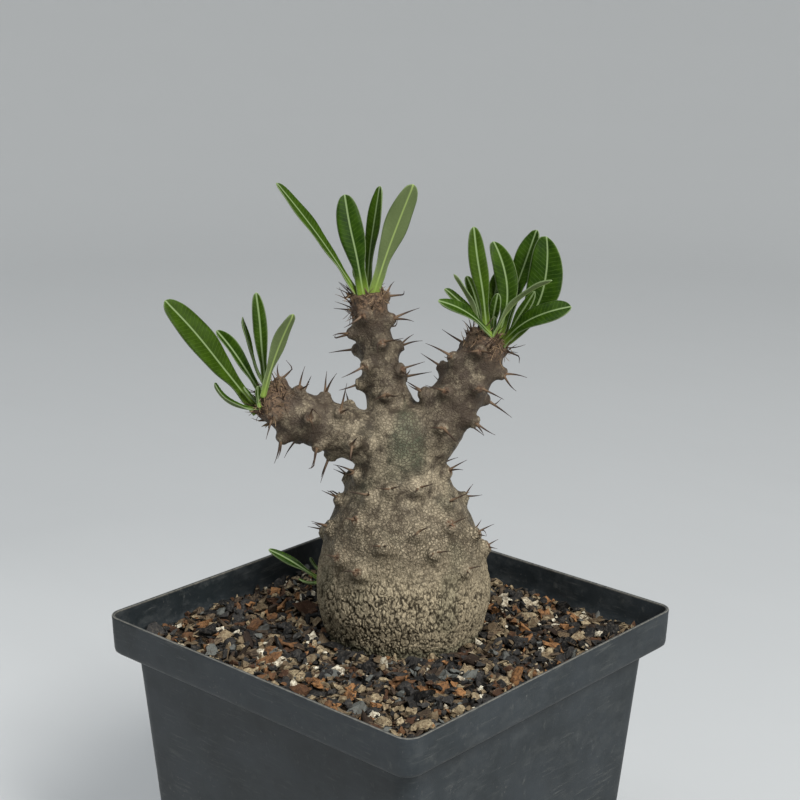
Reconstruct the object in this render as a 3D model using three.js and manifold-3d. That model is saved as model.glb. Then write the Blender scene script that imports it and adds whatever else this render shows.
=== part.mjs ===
// A potted pachypodium: a swollen, spiny caudex with three leafy branches, in a square plastic pot of gritty soil.
// Millimetres, +Z up. The origin is the middle of the pot's underside, and X and Y run along the pot's sides.
import * as THREE from "three";
import { mergeVertices } from "three/addons/utils/BufferGeometryUtils.js";
import Module from "manifold-3d";

const wasm = await Module();
wasm.setup();

// ---------- Driving dimensions ----------

const POT = {
  rimSide: 101, // outside, across the top edge
  height: 95,
  bandHeight: 10, // the stepped-out band that forms the rim
  bandDraft: 0.3, // how far the band leans in towards its lower edge, each side
  overhang: 4.2, // how far the band stands out past the body, each side
  bodyDraft: 6, // how far the body leans in from the band down to the foot, each side
  wall: 1,
  cornerRadius: 4, // outside, at the rim
  bodyCornerRadius: 4.5,
  footCornerRadius: 5,
  footHeight: 2.5, // the floor stands this far above the surface
  footWidth: 4,
  drainRadius: 3.5,
  drainInset: 12, // from the foot's side to the middle of a corner drain hole
};
const SOIL = {
  belowRim: 9.5, // from the pot's top edge down to the packed soil
  clearance: 0.4, // between the soil and the pot's inside
  socketClearance: 0.7, // between the soil and the buried caudex and roots
  chamfer: 1, // around the top edge
};
const GRIT_LAYER = 1.5; // loose grit on the packed soil, which the caudex rises out of
const PLANT = {
  turn: 41.7, // the plant's own frame is turned this far about +Z in the pot
  alongX: 2.7, // the caudex's axis from the pot's middle, in the plant's own frame
  alongY: 9,
};
const CAUDEX = {
  bellyRadius: 22.2, // widest, just above the soil
  bellyHeight: 9,
  soilRadius: 20, // where it rises out of the grit
  shoulderRadius: 18.2,
  shoulderHeight: 28.5,
  neckRadius: 11.2,
  neckHeight: 43,
  crotchRadius: 9.8, // where the three branches part
  crotchRise: 10, // from the neck
  domeRise: 7, // from the crotch to the top of the bulge between the branches
  lean: 2.2, // how far its top stands to the left of its foot
  tapClearance: 37, // from the taproot's end down to the pot's floor
  sides: 24,
};
const ROOTS = {
  count: 4,
  firstHeading: 30,
  wallClearance: 8, // from each root's end to the pot
  startDepth: 13,
  drop: 16,
  baseRadius: 3,
  tipRadius: 0.9,
  sides: 8,
};
const LIMB = { sides: 12, steps: 7, endRise: 0.5, endShare: 0.8 };
const BUMP = { baseRadius: 3.5, topRadius: 1.2, rise: 1.9, sides: 5 };
const SPINE = { length: 5.4, radius: 0.45, sides: 3, spread: 33, sunk: 0.7 };
const GOLDEN_TURN = 137.5;
const LEAF = {
  lift: 0.6, // between the crown and the foot of each leaf
  footWidth: 1,
  footThickness: 0.5,
  thickness: 0.5,
};
const STONE_GAP = 0.35; // under and around each loose stone

// ---------- Materials ----------

const paint = (color, roughness) => new THREE.MeshStandardMaterial({ color, roughness, metalness: 0 });
const MATERIAL = {
  pot: paint(0x2e3a3c, 0.45),
  soil: paint(0x3a2d24, 0.95),
  bark: paint(0x8f8270, 0.85),
  leaf: paint(0x3f6b1c, 0.55),
  pumice: paint(0xc9c3ae, 0.9),
  clay: paint(0xa8663a, 0.9),
  lava: paint(0x2b2d30, 0.9),
  wood: paint(0x6e5138, 0.9),
};

// ---------- Helpers ----------

const radians = THREE.MathUtils.degToRad;
const lerp = THREE.MathUtils.lerp;
const vector = (x, y, z) => new THREE.Vector3(x, y, z);

// A closed skin over rings of equal length, with each end closed to a point.
function skin(rings, start, end) {
  const count = rings[0].length;
  const points = [start, ...rings.flat(), end];
  const last = points.length - 1;
  const triangles = [];
  for (let i = 0; i < count; i++) {
    const next = (i + 1) % count;
    triangles.push(0, 1 + next, 1 + i);
    for (let r = 0; r < rings.length - 1; r++) {
      const low = 1 + r * count;
      const high = low + count;
      triangles.push(low + i, low + next, high + next, low + i, high + next, high + i);
    }
    const top = 1 + (rings.length - 1) * count;
    triangles.push(last, top + i, top + next);
  }
  const geometry = new THREE.BufferGeometry().setFromPoints(points);
  geometry.setIndex(triangles);
  return facingOut(geometry);
}

// The same geometry, turned inside out if its faces pointed inwards.
function facingOut(geometry) {
  const index = geometry.index.array;
  const position = geometry.getAttribute("position");
  const [a, b, c] = [vector(), vector(), vector()];
  let volume = 0;
  for (let i = 0; i < index.length; i += 3) {
    a.fromBufferAttribute(position, index[i]);
    b.fromBufferAttribute(position, index[i + 1]);
    c.fromBufferAttribute(position, index[i + 2]);
    volume += a.dot(b.cross(c));
  }
  if (volume < 0) {
    for (let i = 0; i < index.length; i += 3) [index[i], index[i + 1]] = [index[i + 1], index[i]];
  }
  return geometry;
}

// A three.js geometry as a manifold-3d solid, and back.
function solid(geometry) {
  const bare = new THREE.BufferGeometry().setAttribute("position", geometry.getAttribute("position").clone());
  if (geometry.index) bare.setIndex(geometry.index.clone());
  const merged = mergeVertices(bare, 1e-4);
  return new wasm.Manifold(
    new wasm.Mesh({
      numProp: 3,
      vertProperties: merged.getAttribute("position").array,
      triVerts: new Uint32Array(merged.index.array),
    }),
  );
}

function geometryOf(manifold) {
  const mesh = manifold.getMesh();
  return new THREE.BufferGeometry()
    .setAttribute("position", new THREE.BufferAttribute(new Float32Array(mesh.vertProperties), 3))
    .setIndex(new THREE.BufferAttribute(new Uint32Array(mesh.triVerts), 1));
}

// A round limb along a curve. radiusAt takes 0 at its foot to 1 at its end, which a low cap closes.
function limb(curve, radiusAt, steps, sides) {
  const frames = curve.computeFrenetFrames(steps, false);
  const ring = (middle, radius, i) =>
    Array.from({ length: sides }, (_, k) => {
      const turn = (2 * Math.PI * k) / sides;
      return middle
        .clone()
        .addScaledVector(frames.normals[i], radius * Math.cos(turn))
        .addScaledVector(frames.binormals[i], radius * Math.sin(turn));
    });
  const rings = [];
  for (let i = 0; i <= steps; i++) rings.push(ring(curve.getPointAt(i / steps), radiusAt(i / steps), i));
  const end = curve.getPointAt(1).addScaledVector(frames.tangents[steps], LIMB.endRise);
  rings.push(ring(end, LIMB.endShare * radiusAt(1), steps));
  return skin(rings, curve.getPointAt(0), end);
}

// A cone or frustum standing on a point and pointing along a direction.
function spike(foot, direction, length, footRadius, topRadius, sides) {
  const geometry = new THREE.CylinderGeometry(topRadius, footRadius, length, sides);
  geometry.translate(0, length / 2, 0);
  const turn = new THREE.Quaternion().setFromUnitVectors(vector(0, 1, 0), direction);
  return geometry.applyQuaternion(turn).translate(foot.x, foot.y, foot.z);
}

function named(name, geometry, material) {
  const mesh = new THREE.Mesh(geometry, material);
  mesh.name = name;
  return mesh;
}

// ---------- Pot ----------

const floorTop = POT.footHeight + POT.wall;
const bandBottom = POT.height - POT.bandHeight;
const bandFootSide = POT.rimSide - 2 * POT.bandDraft;
const bodySide = bandFootSide - 2 * POT.overhang;
const footSide = bodySide - 2 * POT.bodyDraft;

const soilTop = POT.height - SOIL.belowRim;
const gritTop = soilTop + GRIT_LAYER;

// The body's outside width at a height below the band.
const bodySideAt = (z) => lerp(footSide, bodySide, z / bandBottom);

// A square ring with rounded corners at one height.
function squareRing(side, radius, z) {
  const half = side / 2 - radius;
  const perCorner = 5;
  const ring = [];
  for (let corner = 0; corner < 4; corner++) {
    const middle = vector(half, half, z).applyAxisAngle(vector(0, 0, 1), (corner * Math.PI) / 2);
    for (let i = 0; i <= perCorner; i++) {
      const turn = (corner + i / perCorner) * (Math.PI / 2);
      ring.push(middle.clone().add(vector(radius * Math.cos(turn), radius * Math.sin(turn), 0)));
    }
  }
  return ring;
}

function pot() {
  const inner = (side, radius, z) => squareRing(side - 2 * POT.wall, radius - POT.wall, z);
  const footInside = footSide - 2 * POT.footWidth;
  const shell = skin(
    [
      squareRing(footInside, POT.footCornerRadius - POT.footWidth, POT.footHeight),
      squareRing(footInside, POT.footCornerRadius - POT.footWidth, 0),
      squareRing(footSide, POT.footCornerRadius, 0),
      squareRing(bodySide, POT.bodyCornerRadius, bandBottom),
      squareRing(bandFootSide, POT.cornerRadius, bandBottom),
      squareRing(POT.rimSide, POT.cornerRadius, POT.height),
      inner(POT.rimSide, POT.cornerRadius, POT.height),
      inner(bandFootSide, POT.cornerRadius, bandBottom + POT.wall),
      inner(bodySide, POT.bodyCornerRadius, bandBottom + POT.wall),
      inner(bodySideAt(floorTop), POT.footCornerRadius, floorTop),
    ],
    vector(0, 0, POT.footHeight),
    vector(0, 0, floorTop),
  );
  const holeReach = footSide / 2 - POT.drainInset;
  const holeMiddles = [vector(0, 0, 0)];
  for (const x of [-holeReach, holeReach]) {
    for (const y of [-holeReach, holeReach]) holeMiddles.push(vector(x, y, 0));
  }
  let made = solid(shell);
  for (const middle of holeMiddles) {
    const drill = spike(middle, vector(0, 0, 1), 2 * floorTop, POT.drainRadius, POT.drainRadius, 12);
    made = made.subtract(solid(drill));
  }
  return named("pot", geometryOf(made), MATERIAL.pot);
}

// ---------- Where the plant stands ----------

const plantMiddle = vector(PLANT.alongX, PLANT.alongY, 0).applyAxisAngle(vector(0, 0, 1), radians(PLANT.turn));

// A geometry in the plant's frame, moved to where it stands in the pot.
function planted(geometry) {
  return geometry.rotateZ(radians(PLANT.turn)).translate(plantMiddle.x, plantMiddle.y, gritTop);
}

// How far the body's inside is from the caudex's axis, along a heading in the plant's frame and at one height.
function wallReach(heading, z) {
  const turn = radians(heading + PLANT.turn);
  const half = bodySideAt(z) / 2 - POT.wall;
  const reach = (way, middle) => (way > 0 ? (half - middle) / way : (-half - middle) / way);
  return Math.min(reach(Math.cos(turn), plantMiddle.x), reach(Math.sin(turn), plantMiddle.y));
}

// ---------- Caudex, roots and branches, in the plant's own frame: +X right, +Y back, z 0 at the grit ----------

const crotchHeight = CAUDEX.neckHeight + CAUDEX.crotchRise;
const domeHeight = crotchHeight + CAUDEX.domeRise;
const tapDepth = gritTop - floorTop - CAUDEX.tapClearance;

const caudexOutline = new THREE.SplineCurve(
  [
    [1.6, -tapDepth],
    [4.6, -0.7 * tapDepth],
    [0.62 * CAUDEX.soilRadius, -0.36 * tapDepth],
    [0.9 * CAUDEX.soilRadius, -0.13 * tapDepth],
    [CAUDEX.soilRadius, 0],
    [CAUDEX.bellyRadius, CAUDEX.bellyHeight],
    [0.955 * CAUDEX.bellyRadius, lerp(CAUDEX.bellyHeight, CAUDEX.shoulderHeight, 0.45)],
    [CAUDEX.shoulderRadius, CAUDEX.shoulderHeight],
    [lerp(CAUDEX.shoulderRadius, CAUDEX.neckRadius, 0.6), lerp(CAUDEX.shoulderHeight, CAUDEX.neckHeight, 0.56)],
    [CAUDEX.neckRadius, CAUDEX.neckHeight],
    [CAUDEX.crotchRadius, crotchHeight],
    [0.62 * CAUDEX.crotchRadius, lerp(crotchHeight, domeHeight, 0.8)],
  ].map(([radius, z]) => new THREE.Vector2(radius, z)),
);

// How far the caudex's middle has moved along X at a height above the grit.
const leanAt = (z) => -CAUDEX.lean * Math.pow(Math.max(0, z) / domeHeight, 1.6);

function caudex(grow = 0) {
  const outline = caudexOutline.getPoints(20).map((p) => new THREE.Vector2(p.x + grow, p.y));
  const low = new THREE.Vector2(0, -tapDepth - 1 - grow);
  const high = new THREE.Vector2(0, domeHeight);
  const geometry = new THREE.LatheGeometry([low, ...outline, high], CAUDEX.sides).rotateX(Math.PI / 2);
  const position = geometry.getAttribute("position");
  for (let i = 0; i < position.count; i++) position.setX(i, position.getX(i) + leanAt(position.getZ(i)));
  return geometry;
}

// The caudex's radius at a height above the grit.
function caudexRadiusAt(z) {
  const points = caudexOutline.getPoints(200);
  const above = points.findIndex((p) => p.y >= z);
  return above < 0 ? points.at(-1).x : points[above].x;
}

function roots(grow = 0) {
  return Array.from({ length: ROOTS.count }, (_, i) => {
    const heading = ROOTS.firstHeading + (360 * i) / ROOTS.count;
    const turn = radians(heading);
    const way = (out, z) => vector(out * Math.cos(turn), out * Math.sin(turn), z);
    const depth = ROOTS.startDepth + ROOTS.drop;
    const start = 0.3 * CAUDEX.soilRadius - grow;
    const end = wallReach(heading, gritTop - depth) - ROOTS.wallClearance + grow;
    const curve = new THREE.CatmullRomCurve3([
      way(start, -ROOTS.startDepth),
      way(lerp(start, end, 0.6), -ROOTS.startDepth - 0.25 * ROOTS.drop),
      way(end, -depth),
    ]);
    return limb(curve, (u) => lerp(ROOTS.baseRadius, ROOTS.tipRadius, u) + grow, 5, ROOTS.sides);
  });
}

// Each branch: the points that its middle passes, from the middle of the neck, its radius at even steps along them,
// and how many tubercles it has.
const BRANCHES = {
  left: {
    path: [
      [0.3, 0, 3.5],
      [-12.1, -2, 9.2],
      [-19.7, -3, 11.7],
      [-27, -4, 15.1],
      [-33.5, -4.5, 18.6],
    ],
    radii: [7.8, 7, 6.2, 6, 4.6],
    bumps: 15,
  },
  middle: {
    path: [
      [-0.2, 1.5, 4],
      [-2.7, 3.5, 15.7],
      [-5.1, 4.5, 25.4],
      [-7.4, 5, 34.5],
      [-8.6, 4.6, 43],
    ],
    radii: [7.6, 6.4, 4.8, 4.6, 4.5],
    bumps: 15,
  },
  right: {
    path: [
      [0.8, 0, 1.5],
      [6.9, -0.2, 8.2],
      [11.9, 0, 14.9],
      [16.9, 0.5, 23.6],
      [21.7, 1.5, 33.4],
    ],
    radii: [8.4, 7.6, 6.6, 6, 5.2],
    bumps: 15,
  },
};
for (const branch of Object.values(BRANCHES)) {
  const neck = vector(leanAt(CAUDEX.neckHeight), 0, CAUDEX.neckHeight);
  branch.curve = new THREE.CatmullRomCurve3(
    branch.path.map((point) => vector(...point).add(neck)),
    false,
    "centripetal",
  );
  const last = branch.radii.length - 1;
  const radii = new THREE.SplineCurve(branch.radii.map((radius, i) => new THREE.Vector2(i / last, radius)));
  branch.radiusAt = (u) => radii.getPoint(u).y;
  branch.crown = branch.curve.getPointAt(1);
  branch.axis = branch.curve.getTangentAt(1);
}

// A tubercle with its pair of spines, at a point on the skin that faces out and has the shoot's tip that way along.
function tubercle(at, out, along, side, spineLength) {
  const lean = out.clone().addScaledVector(along, 0.35).normalize();
  const foot = at.clone().addScaledVector(out, -BUMP.rise);
  const top = foot.clone().addScaledVector(lean, 2 * BUMP.rise - SPINE.sunk);
  const pieces = [spike(foot, lean, 2 * BUMP.rise, BUMP.baseRadius, BUMP.topRadius, BUMP.sides)];
  for (const hand of [-1, 1]) {
    const way = out
      .clone()
      .addScaledVector(side, hand * Math.tan(radians(SPINE.spread)))
      .addScaledVector(along, 0.12 * hand)
      .normalize();
    pieces.push(spike(top, way, spineLength, SPINE.radius, 0, SPINE.sides));
  }
  return pieces;
}

function branchTubercles({ curve, radiusAt, bumps }) {
  const steps = 60;
  const frames = curve.computeFrenetFrames(steps, false);
  const pieces = [];
  for (let k = 0; k < bumps; k++) {
    const u = lerp(0.34, 0.95, (k + 0.3) / bumps);
    const i = Math.round(u * steps);
    const turn = radians(k * GOLDEN_TURN);
    const out = frames.normals[i].clone().multiplyScalar(Math.cos(turn));
    out.addScaledVector(frames.binormals[i], Math.sin(turn));
    const side = frames.tangents[i].clone().cross(out);
    const at = curve.getPointAt(u).addScaledVector(out, radiusAt(u));
    pieces.push(...tubercle(at, out, frames.tangents[i], side, SPINE.length));
  }
  return pieces;
}

// The caudex's tubercles, each as its heading and its height as a share of the way from the grit to the neck.
const CAUDEX_TUBERCLES = [
  [222, 0.53],
  [240, 0.48],
  [316, 0.47],
  [355, 0.5],
  [30, 0.49],
  [80, 0.5],
  [128, 0.48],
  [165, 0.53],
  [257, 0.64],
  [293, 0.6],
  [196, 0.64],
  [340, 0.62],
  [55, 0.63],
  [105, 0.64],
  [148, 0.7],
  [230, 0.74],
  [283, 0.71],
  [312, 0.72],
  [12, 0.76],
  [80, 0.79],
  [190, 0.79],
  [260, 0.93],
  [236, 0.88],
  [323, 0.83],
  [290, 0.93],
  [165, 0.88],
  [345, 0.97],
  [40, 0.92],
  [120, 0.95],
  [205, 0.97],
];

function caudexTubercles() {
  return CAUDEX_TUBERCLES.flatMap(([heading, share]) => {
    const z = share * CAUDEX.neckHeight;
    const turn = radians(heading);
    const slope = (caudexRadiusAt(z - 2) - caudexRadiusAt(z + 2)) / 4;
    const flat = vector(Math.cos(turn), Math.sin(turn), 0);
    const out = flat.clone().setZ(slope).normalize();
    const side = vector(-flat.y, flat.x, 0);
    const along = out.clone().cross(side);
    const at = flat.clone().multiplyScalar(caudexRadiusAt(z)).setZ(z);
    at.x += leanAt(z);
    return tubercle(at, out, along, side, lerp(0.4, 0.8, share) * SPINE.length);
  });
}

function stem() {
  const pieces = [...roots(), ...caudexTubercles()];
  for (const branch of Object.values(BRANCHES)) {
    pieces.push(limb(branch.curve, branch.radiusAt, LIMB.steps, LIMB.sides), ...branchTubercles(branch));
  }
  const made = pieces.reduce((whole, piece) => whole.add(solid(piece)), solid(caudex()));
  return named("caudex_and_branches", geometryOf(made), MATERIAL.bark);
}

// ---------- Leaves ----------

// Each leaf: where its seat is on the crown (a heading and how far out), its own heading and rise, its length and
// width, the way its upper side looks, arch, fold and sweep. Headings are in plan, in degrees: 0 right, 90 back,
// 180 left, 270 front. arch lifts the leaf's middle to its upper side, fold closes the blade like a book, and sweep
// moves its middle to its left.
const LEAVES = {
  left: [
    [[190, 2.9], 191, 52.5, 34.4, 7.6, [0.5, -0.75, 0.45], 1, 8],
    [[60, 1.6], 160, 51.5, 18.7, 4.6, [0.5, -0.7, 0.4], 0.8, 38],
    [[30, 3.4], 152, 70, 17.6, 2.4, [0.95, -0.3, 0], -0.6, 12],
    [[355, 3.6], 121, 78, 22.8, 3.6, [0.1, -1, 0.1], 0.6, 12],
    [[330, 4.2], 323, 65.5, 22.8, 4, [-0.45, 0.88, 0.2], 1.2, 14],
    [[214, 4.1], 195, 36, 12, 4, [0.5, 0, 1], -1.8, 24],
    [[232, 2.6], 208, 51, 5.6, 1.9, [0.4, -0.4, 0.8], -0.3, 16],
    [[262, 4], 272, 71, 4.8, 2, [0.4, -0.8, 0.4], -0.3, 16],
  ],
  middle: [
    [[191, 2.8], 189, 54.7, 33, 5, [0.8, -0.45, 0.5], 0.8, 14],
    [[245, 1.9], 138, 75, 24, 6.4, [0.1, -1, 0.2], 0.8, 10],
    [[73, 1.6], 50, 80, 25, 4.8, [-0.7, -0.75, 0.1], 0.7, 14],
    [[336, 2.4], 332, 69, 28.6, 6.4, [-0.3, 0.95, 0.1], 1, 10],
    [[120, 3.4], 117, 63, 5.4, 2.2, [0, -1, 0.5], -0.4, 18],
  ],
  right: [
    [[225, 2.4], 132, 78, 25.4, 4.6, [0.2, -1, 0.1], 0.8, 10],
    [[0, 1.8], 108, 77.5, 23, 6, [0.15, -1, 0.2], 1, 16, -2.6],
    [[40, 4.4], 24, 71.4, 27.4, 6.4, [-0.6, -0.8, 0.2], 0.8, 20],
    [[12, 4.5], 10, 70.5, 27, 8.8, [-0.1, -1, 0.25], 1, 8, -4],
    [[278, 3.4], 333, 46, 21, 3.6, [-0.6, 0.35, 0.8], 2.4, 26],
    [[350, 3.9], 340, 61, 14.4, 2.8, [-0.4, -0.8, 0.4], 0.3, 12],
    [[325, 4.6], 343, 31, 18.6, 6.6, [-0.3, -0.6, 0.8], 2.6, 8],
    [[252, 4.4], 208, 33, 17, 4, [0.3, -0.6, 0.8], 1.6, 12],
    [[180, 2.6], 155, 40, 13.4, 3.4, [0.4, -0.6, 0.7], 0.8, 12],
    [[218, 4], 203, 61, 16, 2.7, [0.8, 0.4, 0.5], 0.6, 22],
    [[140, 3], 143, 66, 13.2, 3.4, [0.4, -0.9, 0.3], 0.6, 12],
    [[98, 2.9], 35, 80, 14.6, 4.2, [-0.2, -1, 0.2], 1, 14],
    [[90, 0.9], 319, 80, 10, 3, [-0.3, -0.9, 0.1], 0.5, 14],
    [[280, 1.6], 278, 78, 4.6, 1.6, [0, -1, 0.2], -0.2, 16],
  ],
};

// How wide a leaf is along its length, as a share of its widest: a narrow foot, a long taper and a blunt tip.
function leafWidthShare(t) {
  const opening = THREE.MathUtils.smoothstep(t, -0.1, 0.62);
  const closing = Math.sqrt(Math.max(0, 1 - Math.pow(Math.max(0, (t - 0.6) / 0.4), 2.6)));
  return opening * closing;
}

function leaf(foot, [heading, rise, length, width, face, arch, fold, sweep = 0]) {
  const [turn, climb] = [radians(heading), radians(rise)];
  const way = vector(Math.cos(turn) * Math.cos(climb), Math.sin(turn) * Math.cos(climb), Math.sin(climb));
  const up = vector(...face).projectOnPlane(way).normalize();
  const left = up.clone().cross(way);
  const stations = [0, 0.1, 0.24, 0.4, 0.56, 0.72, 0.85, 0.94, 0.985];
  const middleAt = (t) =>
    foot
      .clone()
      .addScaledVector(way, length * t)
      .addScaledVector(up, arch * 4 * t * (1 - t))
      .addScaledVector(left, sweep * 4 * t * (1 - t));
  const rings = stations.map((t) => {
    const middle = middleAt(t);
    const half = Math.max(LEAF.footWidth * (1 - t), width * leafWidthShare(t)) / 2;
    const thick = lerp(LEAF.footThickness, LEAF.thickness, t) * (t > 0.9 ? 0.7 : 1);
    const edge = (hand) =>
      middle
        .clone()
        .addScaledVector(left, hand * half * Math.cos(radians(fold)))
        .addScaledVector(up, half * Math.sin(radians(fold)));
    const face = (hand) => middle.clone().addScaledVector(up, (hand * thick) / 2);
    return [edge(1), face(-1), edge(-1), face(1)];
  });
  return skin(rings, middleAt(-0.01), middleAt(1));
}

// Where a leaf sits: its seat's heading in plan, laid onto the crown's face, and how far out.
function seatOn({ crown, axis }, [heading, reach]) {
  const way = vector(Math.cos(radians(heading)), Math.sin(radians(heading)), 0).projectOnPlane(axis).normalize();
  return crown.clone().addScaledVector(axis, LIMB.endRise + LEAF.lift).addScaledVector(way, reach);
}

function leaves() {
  const made = [];
  for (const [side, specs] of Object.entries(LEAVES)) {
    specs.forEach(([seat, ...shape], i) => {
      const foot = seatOn(BRANCHES[side], seat);
      const name = `${side}_leaf_${String(i + 1).padStart(2, "0")}`;
      made.push(named(name, leaf(foot, shape), MATERIAL.leaf));
    });
  }
  return made;
}

// A small shoot low on the caudex's left flank: one leaf and two scales at its foot. Each has its heading round the
// caudex, its height above the grit, and then the same values as any leaf.
const FLANK_SHOOT = {
  flank_leaf: [174, 12.5, 176, 30, 13.6, 2.9, [0.3, -0.6, 0.8], 0.5, 12],
  flank_scale_1: [179, 11.5, 196, 20, 4, 1.5, [0.2, -0.4, 1], -0.3, 16],
  flank_scale_2: [165, 13.1, 150, 48, 3.6, 1.4, [0.4, -0.4, 1], -0.3, 16],
};

function flankShoot() {
  return Object.entries(FLANK_SHOOT).map(([name, [heading, z, ...shape]]) => {
    const out = caudexRadiusAt(z) + LEAF.lift + LEAF.footThickness / 2;
    const foot = vector(Math.cos(radians(heading)) * out, Math.sin(radians(heading)) * out, z);
    return named(name, leaf(foot, shape), MATERIAL.leaf);
  });
}

// ---------- Soil ----------

function soil() {
  const inside = (z) => bodySideAt(z) - 2 * POT.wall - 2 * SOIL.clearance;
  const low = floorTop + SOIL.clearance;
  const radius = (z) => lerp(POT.footCornerRadius, POT.bodyCornerRadius, z / bandBottom) - POT.wall;
  const block = skin(
    [
      squareRing(inside(low), radius(low), low),
      squareRing(inside(soilTop - SOIL.chamfer), radius(soilTop), soilTop - SOIL.chamfer),
      squareRing(inside(soilTop) - 2 * SOIL.chamfer, radius(soilTop) - SOIL.chamfer / 2, soilTop),
    ],
    vector(0, 0, low),
    vector(0, 0, soilTop),
  );
  const buried = [caudex(SOIL.socketClearance), ...roots(SOIL.socketClearance)];
  const made = buried.reduce((rest, piece) => rest.subtract(solid(planted(piece))), solid(block));
  return named("soil", geometryOf(made), MATERIAL.soil);
}

// ---------- Loose stones on the soil ----------

// Each stone: its kind, its heading from the caudex in the plant's frame, how far it lies between the caudex and the
// pot's wall (0 to 1), its length, width and height, and how far it is turned.
const STONES = [
  ["pumice", 231, 0.62, 7.2, 5.4, 3.8, 20],
  ["pumice", 262, 0.5, 5.2, 4, 3, 70],
  ["pumice", 276, 0.86, 4.6, 3.6, 3, 10],
  ["pumice", 306, 0.72, 5.6, 4.4, 3.2, 140],
  ["pumice", 292, 0.36, 5, 3.4, 2.8, 50],
  ["pumice", 338, 0.6, 4.4, 3.4, 2.6, 95],
  ["pumice", 118, 0.7, 6, 4.6, 3.2, 30],
  ["clay", 250, 0.84, 5, 3.8, 3.2, 120],
  ["clay", 288, 0.62, 5.2, 3.6, 4, 15],
  ["clay", 208, 0.4, 6, 5, 3.6, 60],
  ["clay", 190, 0.8, 6.4, 4.8, 3.4, 165],
  ["clay", 318, 0.85, 5, 4, 3, 35],
  ["clay", 40, 0.65, 5.4, 4.2, 3, 80],
  ["lava", 240, 0.36, 6.4, 5, 3.6, 45],
  ["lava", 271, 0.25, 6.6, 4.6, 3.4, 110],
  ["lava", 197, 0.58, 7, 4.6, 3.4, 150],
  ["lava", 322, 0.4, 6, 4.4, 3, 5],
  ["lava", 75, 0.5, 6.2, 4.8, 3.4, 100],
  ["wood", 176, 0.45, 9, 3.2, 2.2, 40],
  ["wood", 300, 0.12, 8, 2.8, 2, 75],
  ["wood", 350, 0.8, 8.4, 3, 2.2, 125],
];

// A broken stone: a twelve-sided block with each corner moved a little, always the same way for the same number.
function stone(number, length, width, height) {
  const geometry = mergeVertices(bareOf(new THREE.IcosahedronGeometry(0.5, 0)), 1e-4);
  const corners = geometry.getAttribute("position");
  for (let i = 0; i < corners.count; i++) {
    const nudge = (salt) => 1 - 0.16 * Math.abs(Math.sin(number * 12.9 + i * 4.7 + salt));
    corners.setXYZ(
      i,
      corners.getX(i) * nudge(1) * length,
      corners.getY(i) * nudge(2) * width,
      corners.getZ(i) * nudge(3) * height,
    );
  }
  return geometry;
}

function bareOf(geometry) {
  return new THREE.BufferGeometry().setAttribute("position", geometry.getAttribute("position"));
}

function looseStones() {
  const counts = {};
  return STONES.map(([kind, heading, share, length, width, height, turn], i) => {
    counts[kind] = (counts[kind] ?? 0) + 1;
    const nearest = CAUDEX.bellyRadius + length / 2 + 1;
    const furthest = wallReach(heading, soilTop) - length / 2 - POT.bodyCornerRadius / 4;
    const out = lerp(nearest, furthest, share);
    const way = radians(heading + PLANT.turn);
    const geometry = stone(i, length, width, height).rotateZ(radians(turn));
    geometry.computeBoundingBox();
    geometry.translate(
      plantMiddle.x + out * Math.cos(way),
      plantMiddle.y + out * Math.sin(way),
      soilTop + STONE_GAP - geometry.boundingBox.min.z,
    );
    return named(`${kind}_stone_${counts[kind]}`, geometry, MATERIAL[kind]);
  });
}

// ---------- The whole object ----------

const plant = new THREE.Group();
plant.add(stem(), ...leaves(), ...flankShoot());
plant.rotation.z = radians(PLANT.turn);
plant.position.set(plantMiddle.x, plantMiddle.y, gritTop);

const pottedPachypodium = new THREE.Group();
pottedPachypodium.add(pot(), soil(), plant, ...looseStones());

export default pottedPachypodium;
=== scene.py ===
# %% [markdown]
# # A potted pachypodium
# A swollen, spiny trunk with three leafy branches stands in a square plastic nursery pot of gritty soil.
# The packed model is a plain, exact frame in metres. This lesson grows the finished surfaces over it, one
# piece at a time, and every place is read from that frame so that nothing has to be fitted by eye.

# %% Load the frame
import math

import bmesh
import bpy
import numpy as np
from mathutils import Matrix, Vector, noise


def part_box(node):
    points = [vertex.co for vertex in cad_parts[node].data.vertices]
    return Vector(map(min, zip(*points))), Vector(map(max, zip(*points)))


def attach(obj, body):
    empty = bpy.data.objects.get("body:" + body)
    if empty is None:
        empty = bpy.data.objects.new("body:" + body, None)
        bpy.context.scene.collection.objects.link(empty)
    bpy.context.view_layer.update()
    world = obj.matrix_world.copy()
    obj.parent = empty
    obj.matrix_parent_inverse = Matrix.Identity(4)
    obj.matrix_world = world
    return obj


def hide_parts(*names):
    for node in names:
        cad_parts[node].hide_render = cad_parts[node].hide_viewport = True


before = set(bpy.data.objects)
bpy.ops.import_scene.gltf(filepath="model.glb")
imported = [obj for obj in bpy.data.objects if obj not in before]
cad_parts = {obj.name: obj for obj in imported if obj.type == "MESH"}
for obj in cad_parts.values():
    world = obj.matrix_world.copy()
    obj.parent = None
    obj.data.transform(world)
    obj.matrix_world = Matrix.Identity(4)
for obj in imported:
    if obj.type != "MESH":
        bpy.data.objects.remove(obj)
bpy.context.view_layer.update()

MM = 0.001

# %% [markdown]
# ## The camera
# A long lens stands a little over half a metre from the plant, above the rim, and looks down on it past one
# corner of the pot. Its direction is worked out from a heading and a pitch, which are easier to read than a
# matrix. The frame leans by half a degree, as a camera held by hand does.

# %% Camera
CAMERA_PLACE = Vector((0.2742, -0.3054, 0.2677))
CAMERA_HEADING = math.radians(41.74)
CAMERA_PITCH = math.radians(16.02)
CAMERA_LEAN = 0.0105  # radians
CAMERA_LENS = 79.54  # millimetres, on a film 36 mm wide

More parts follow.
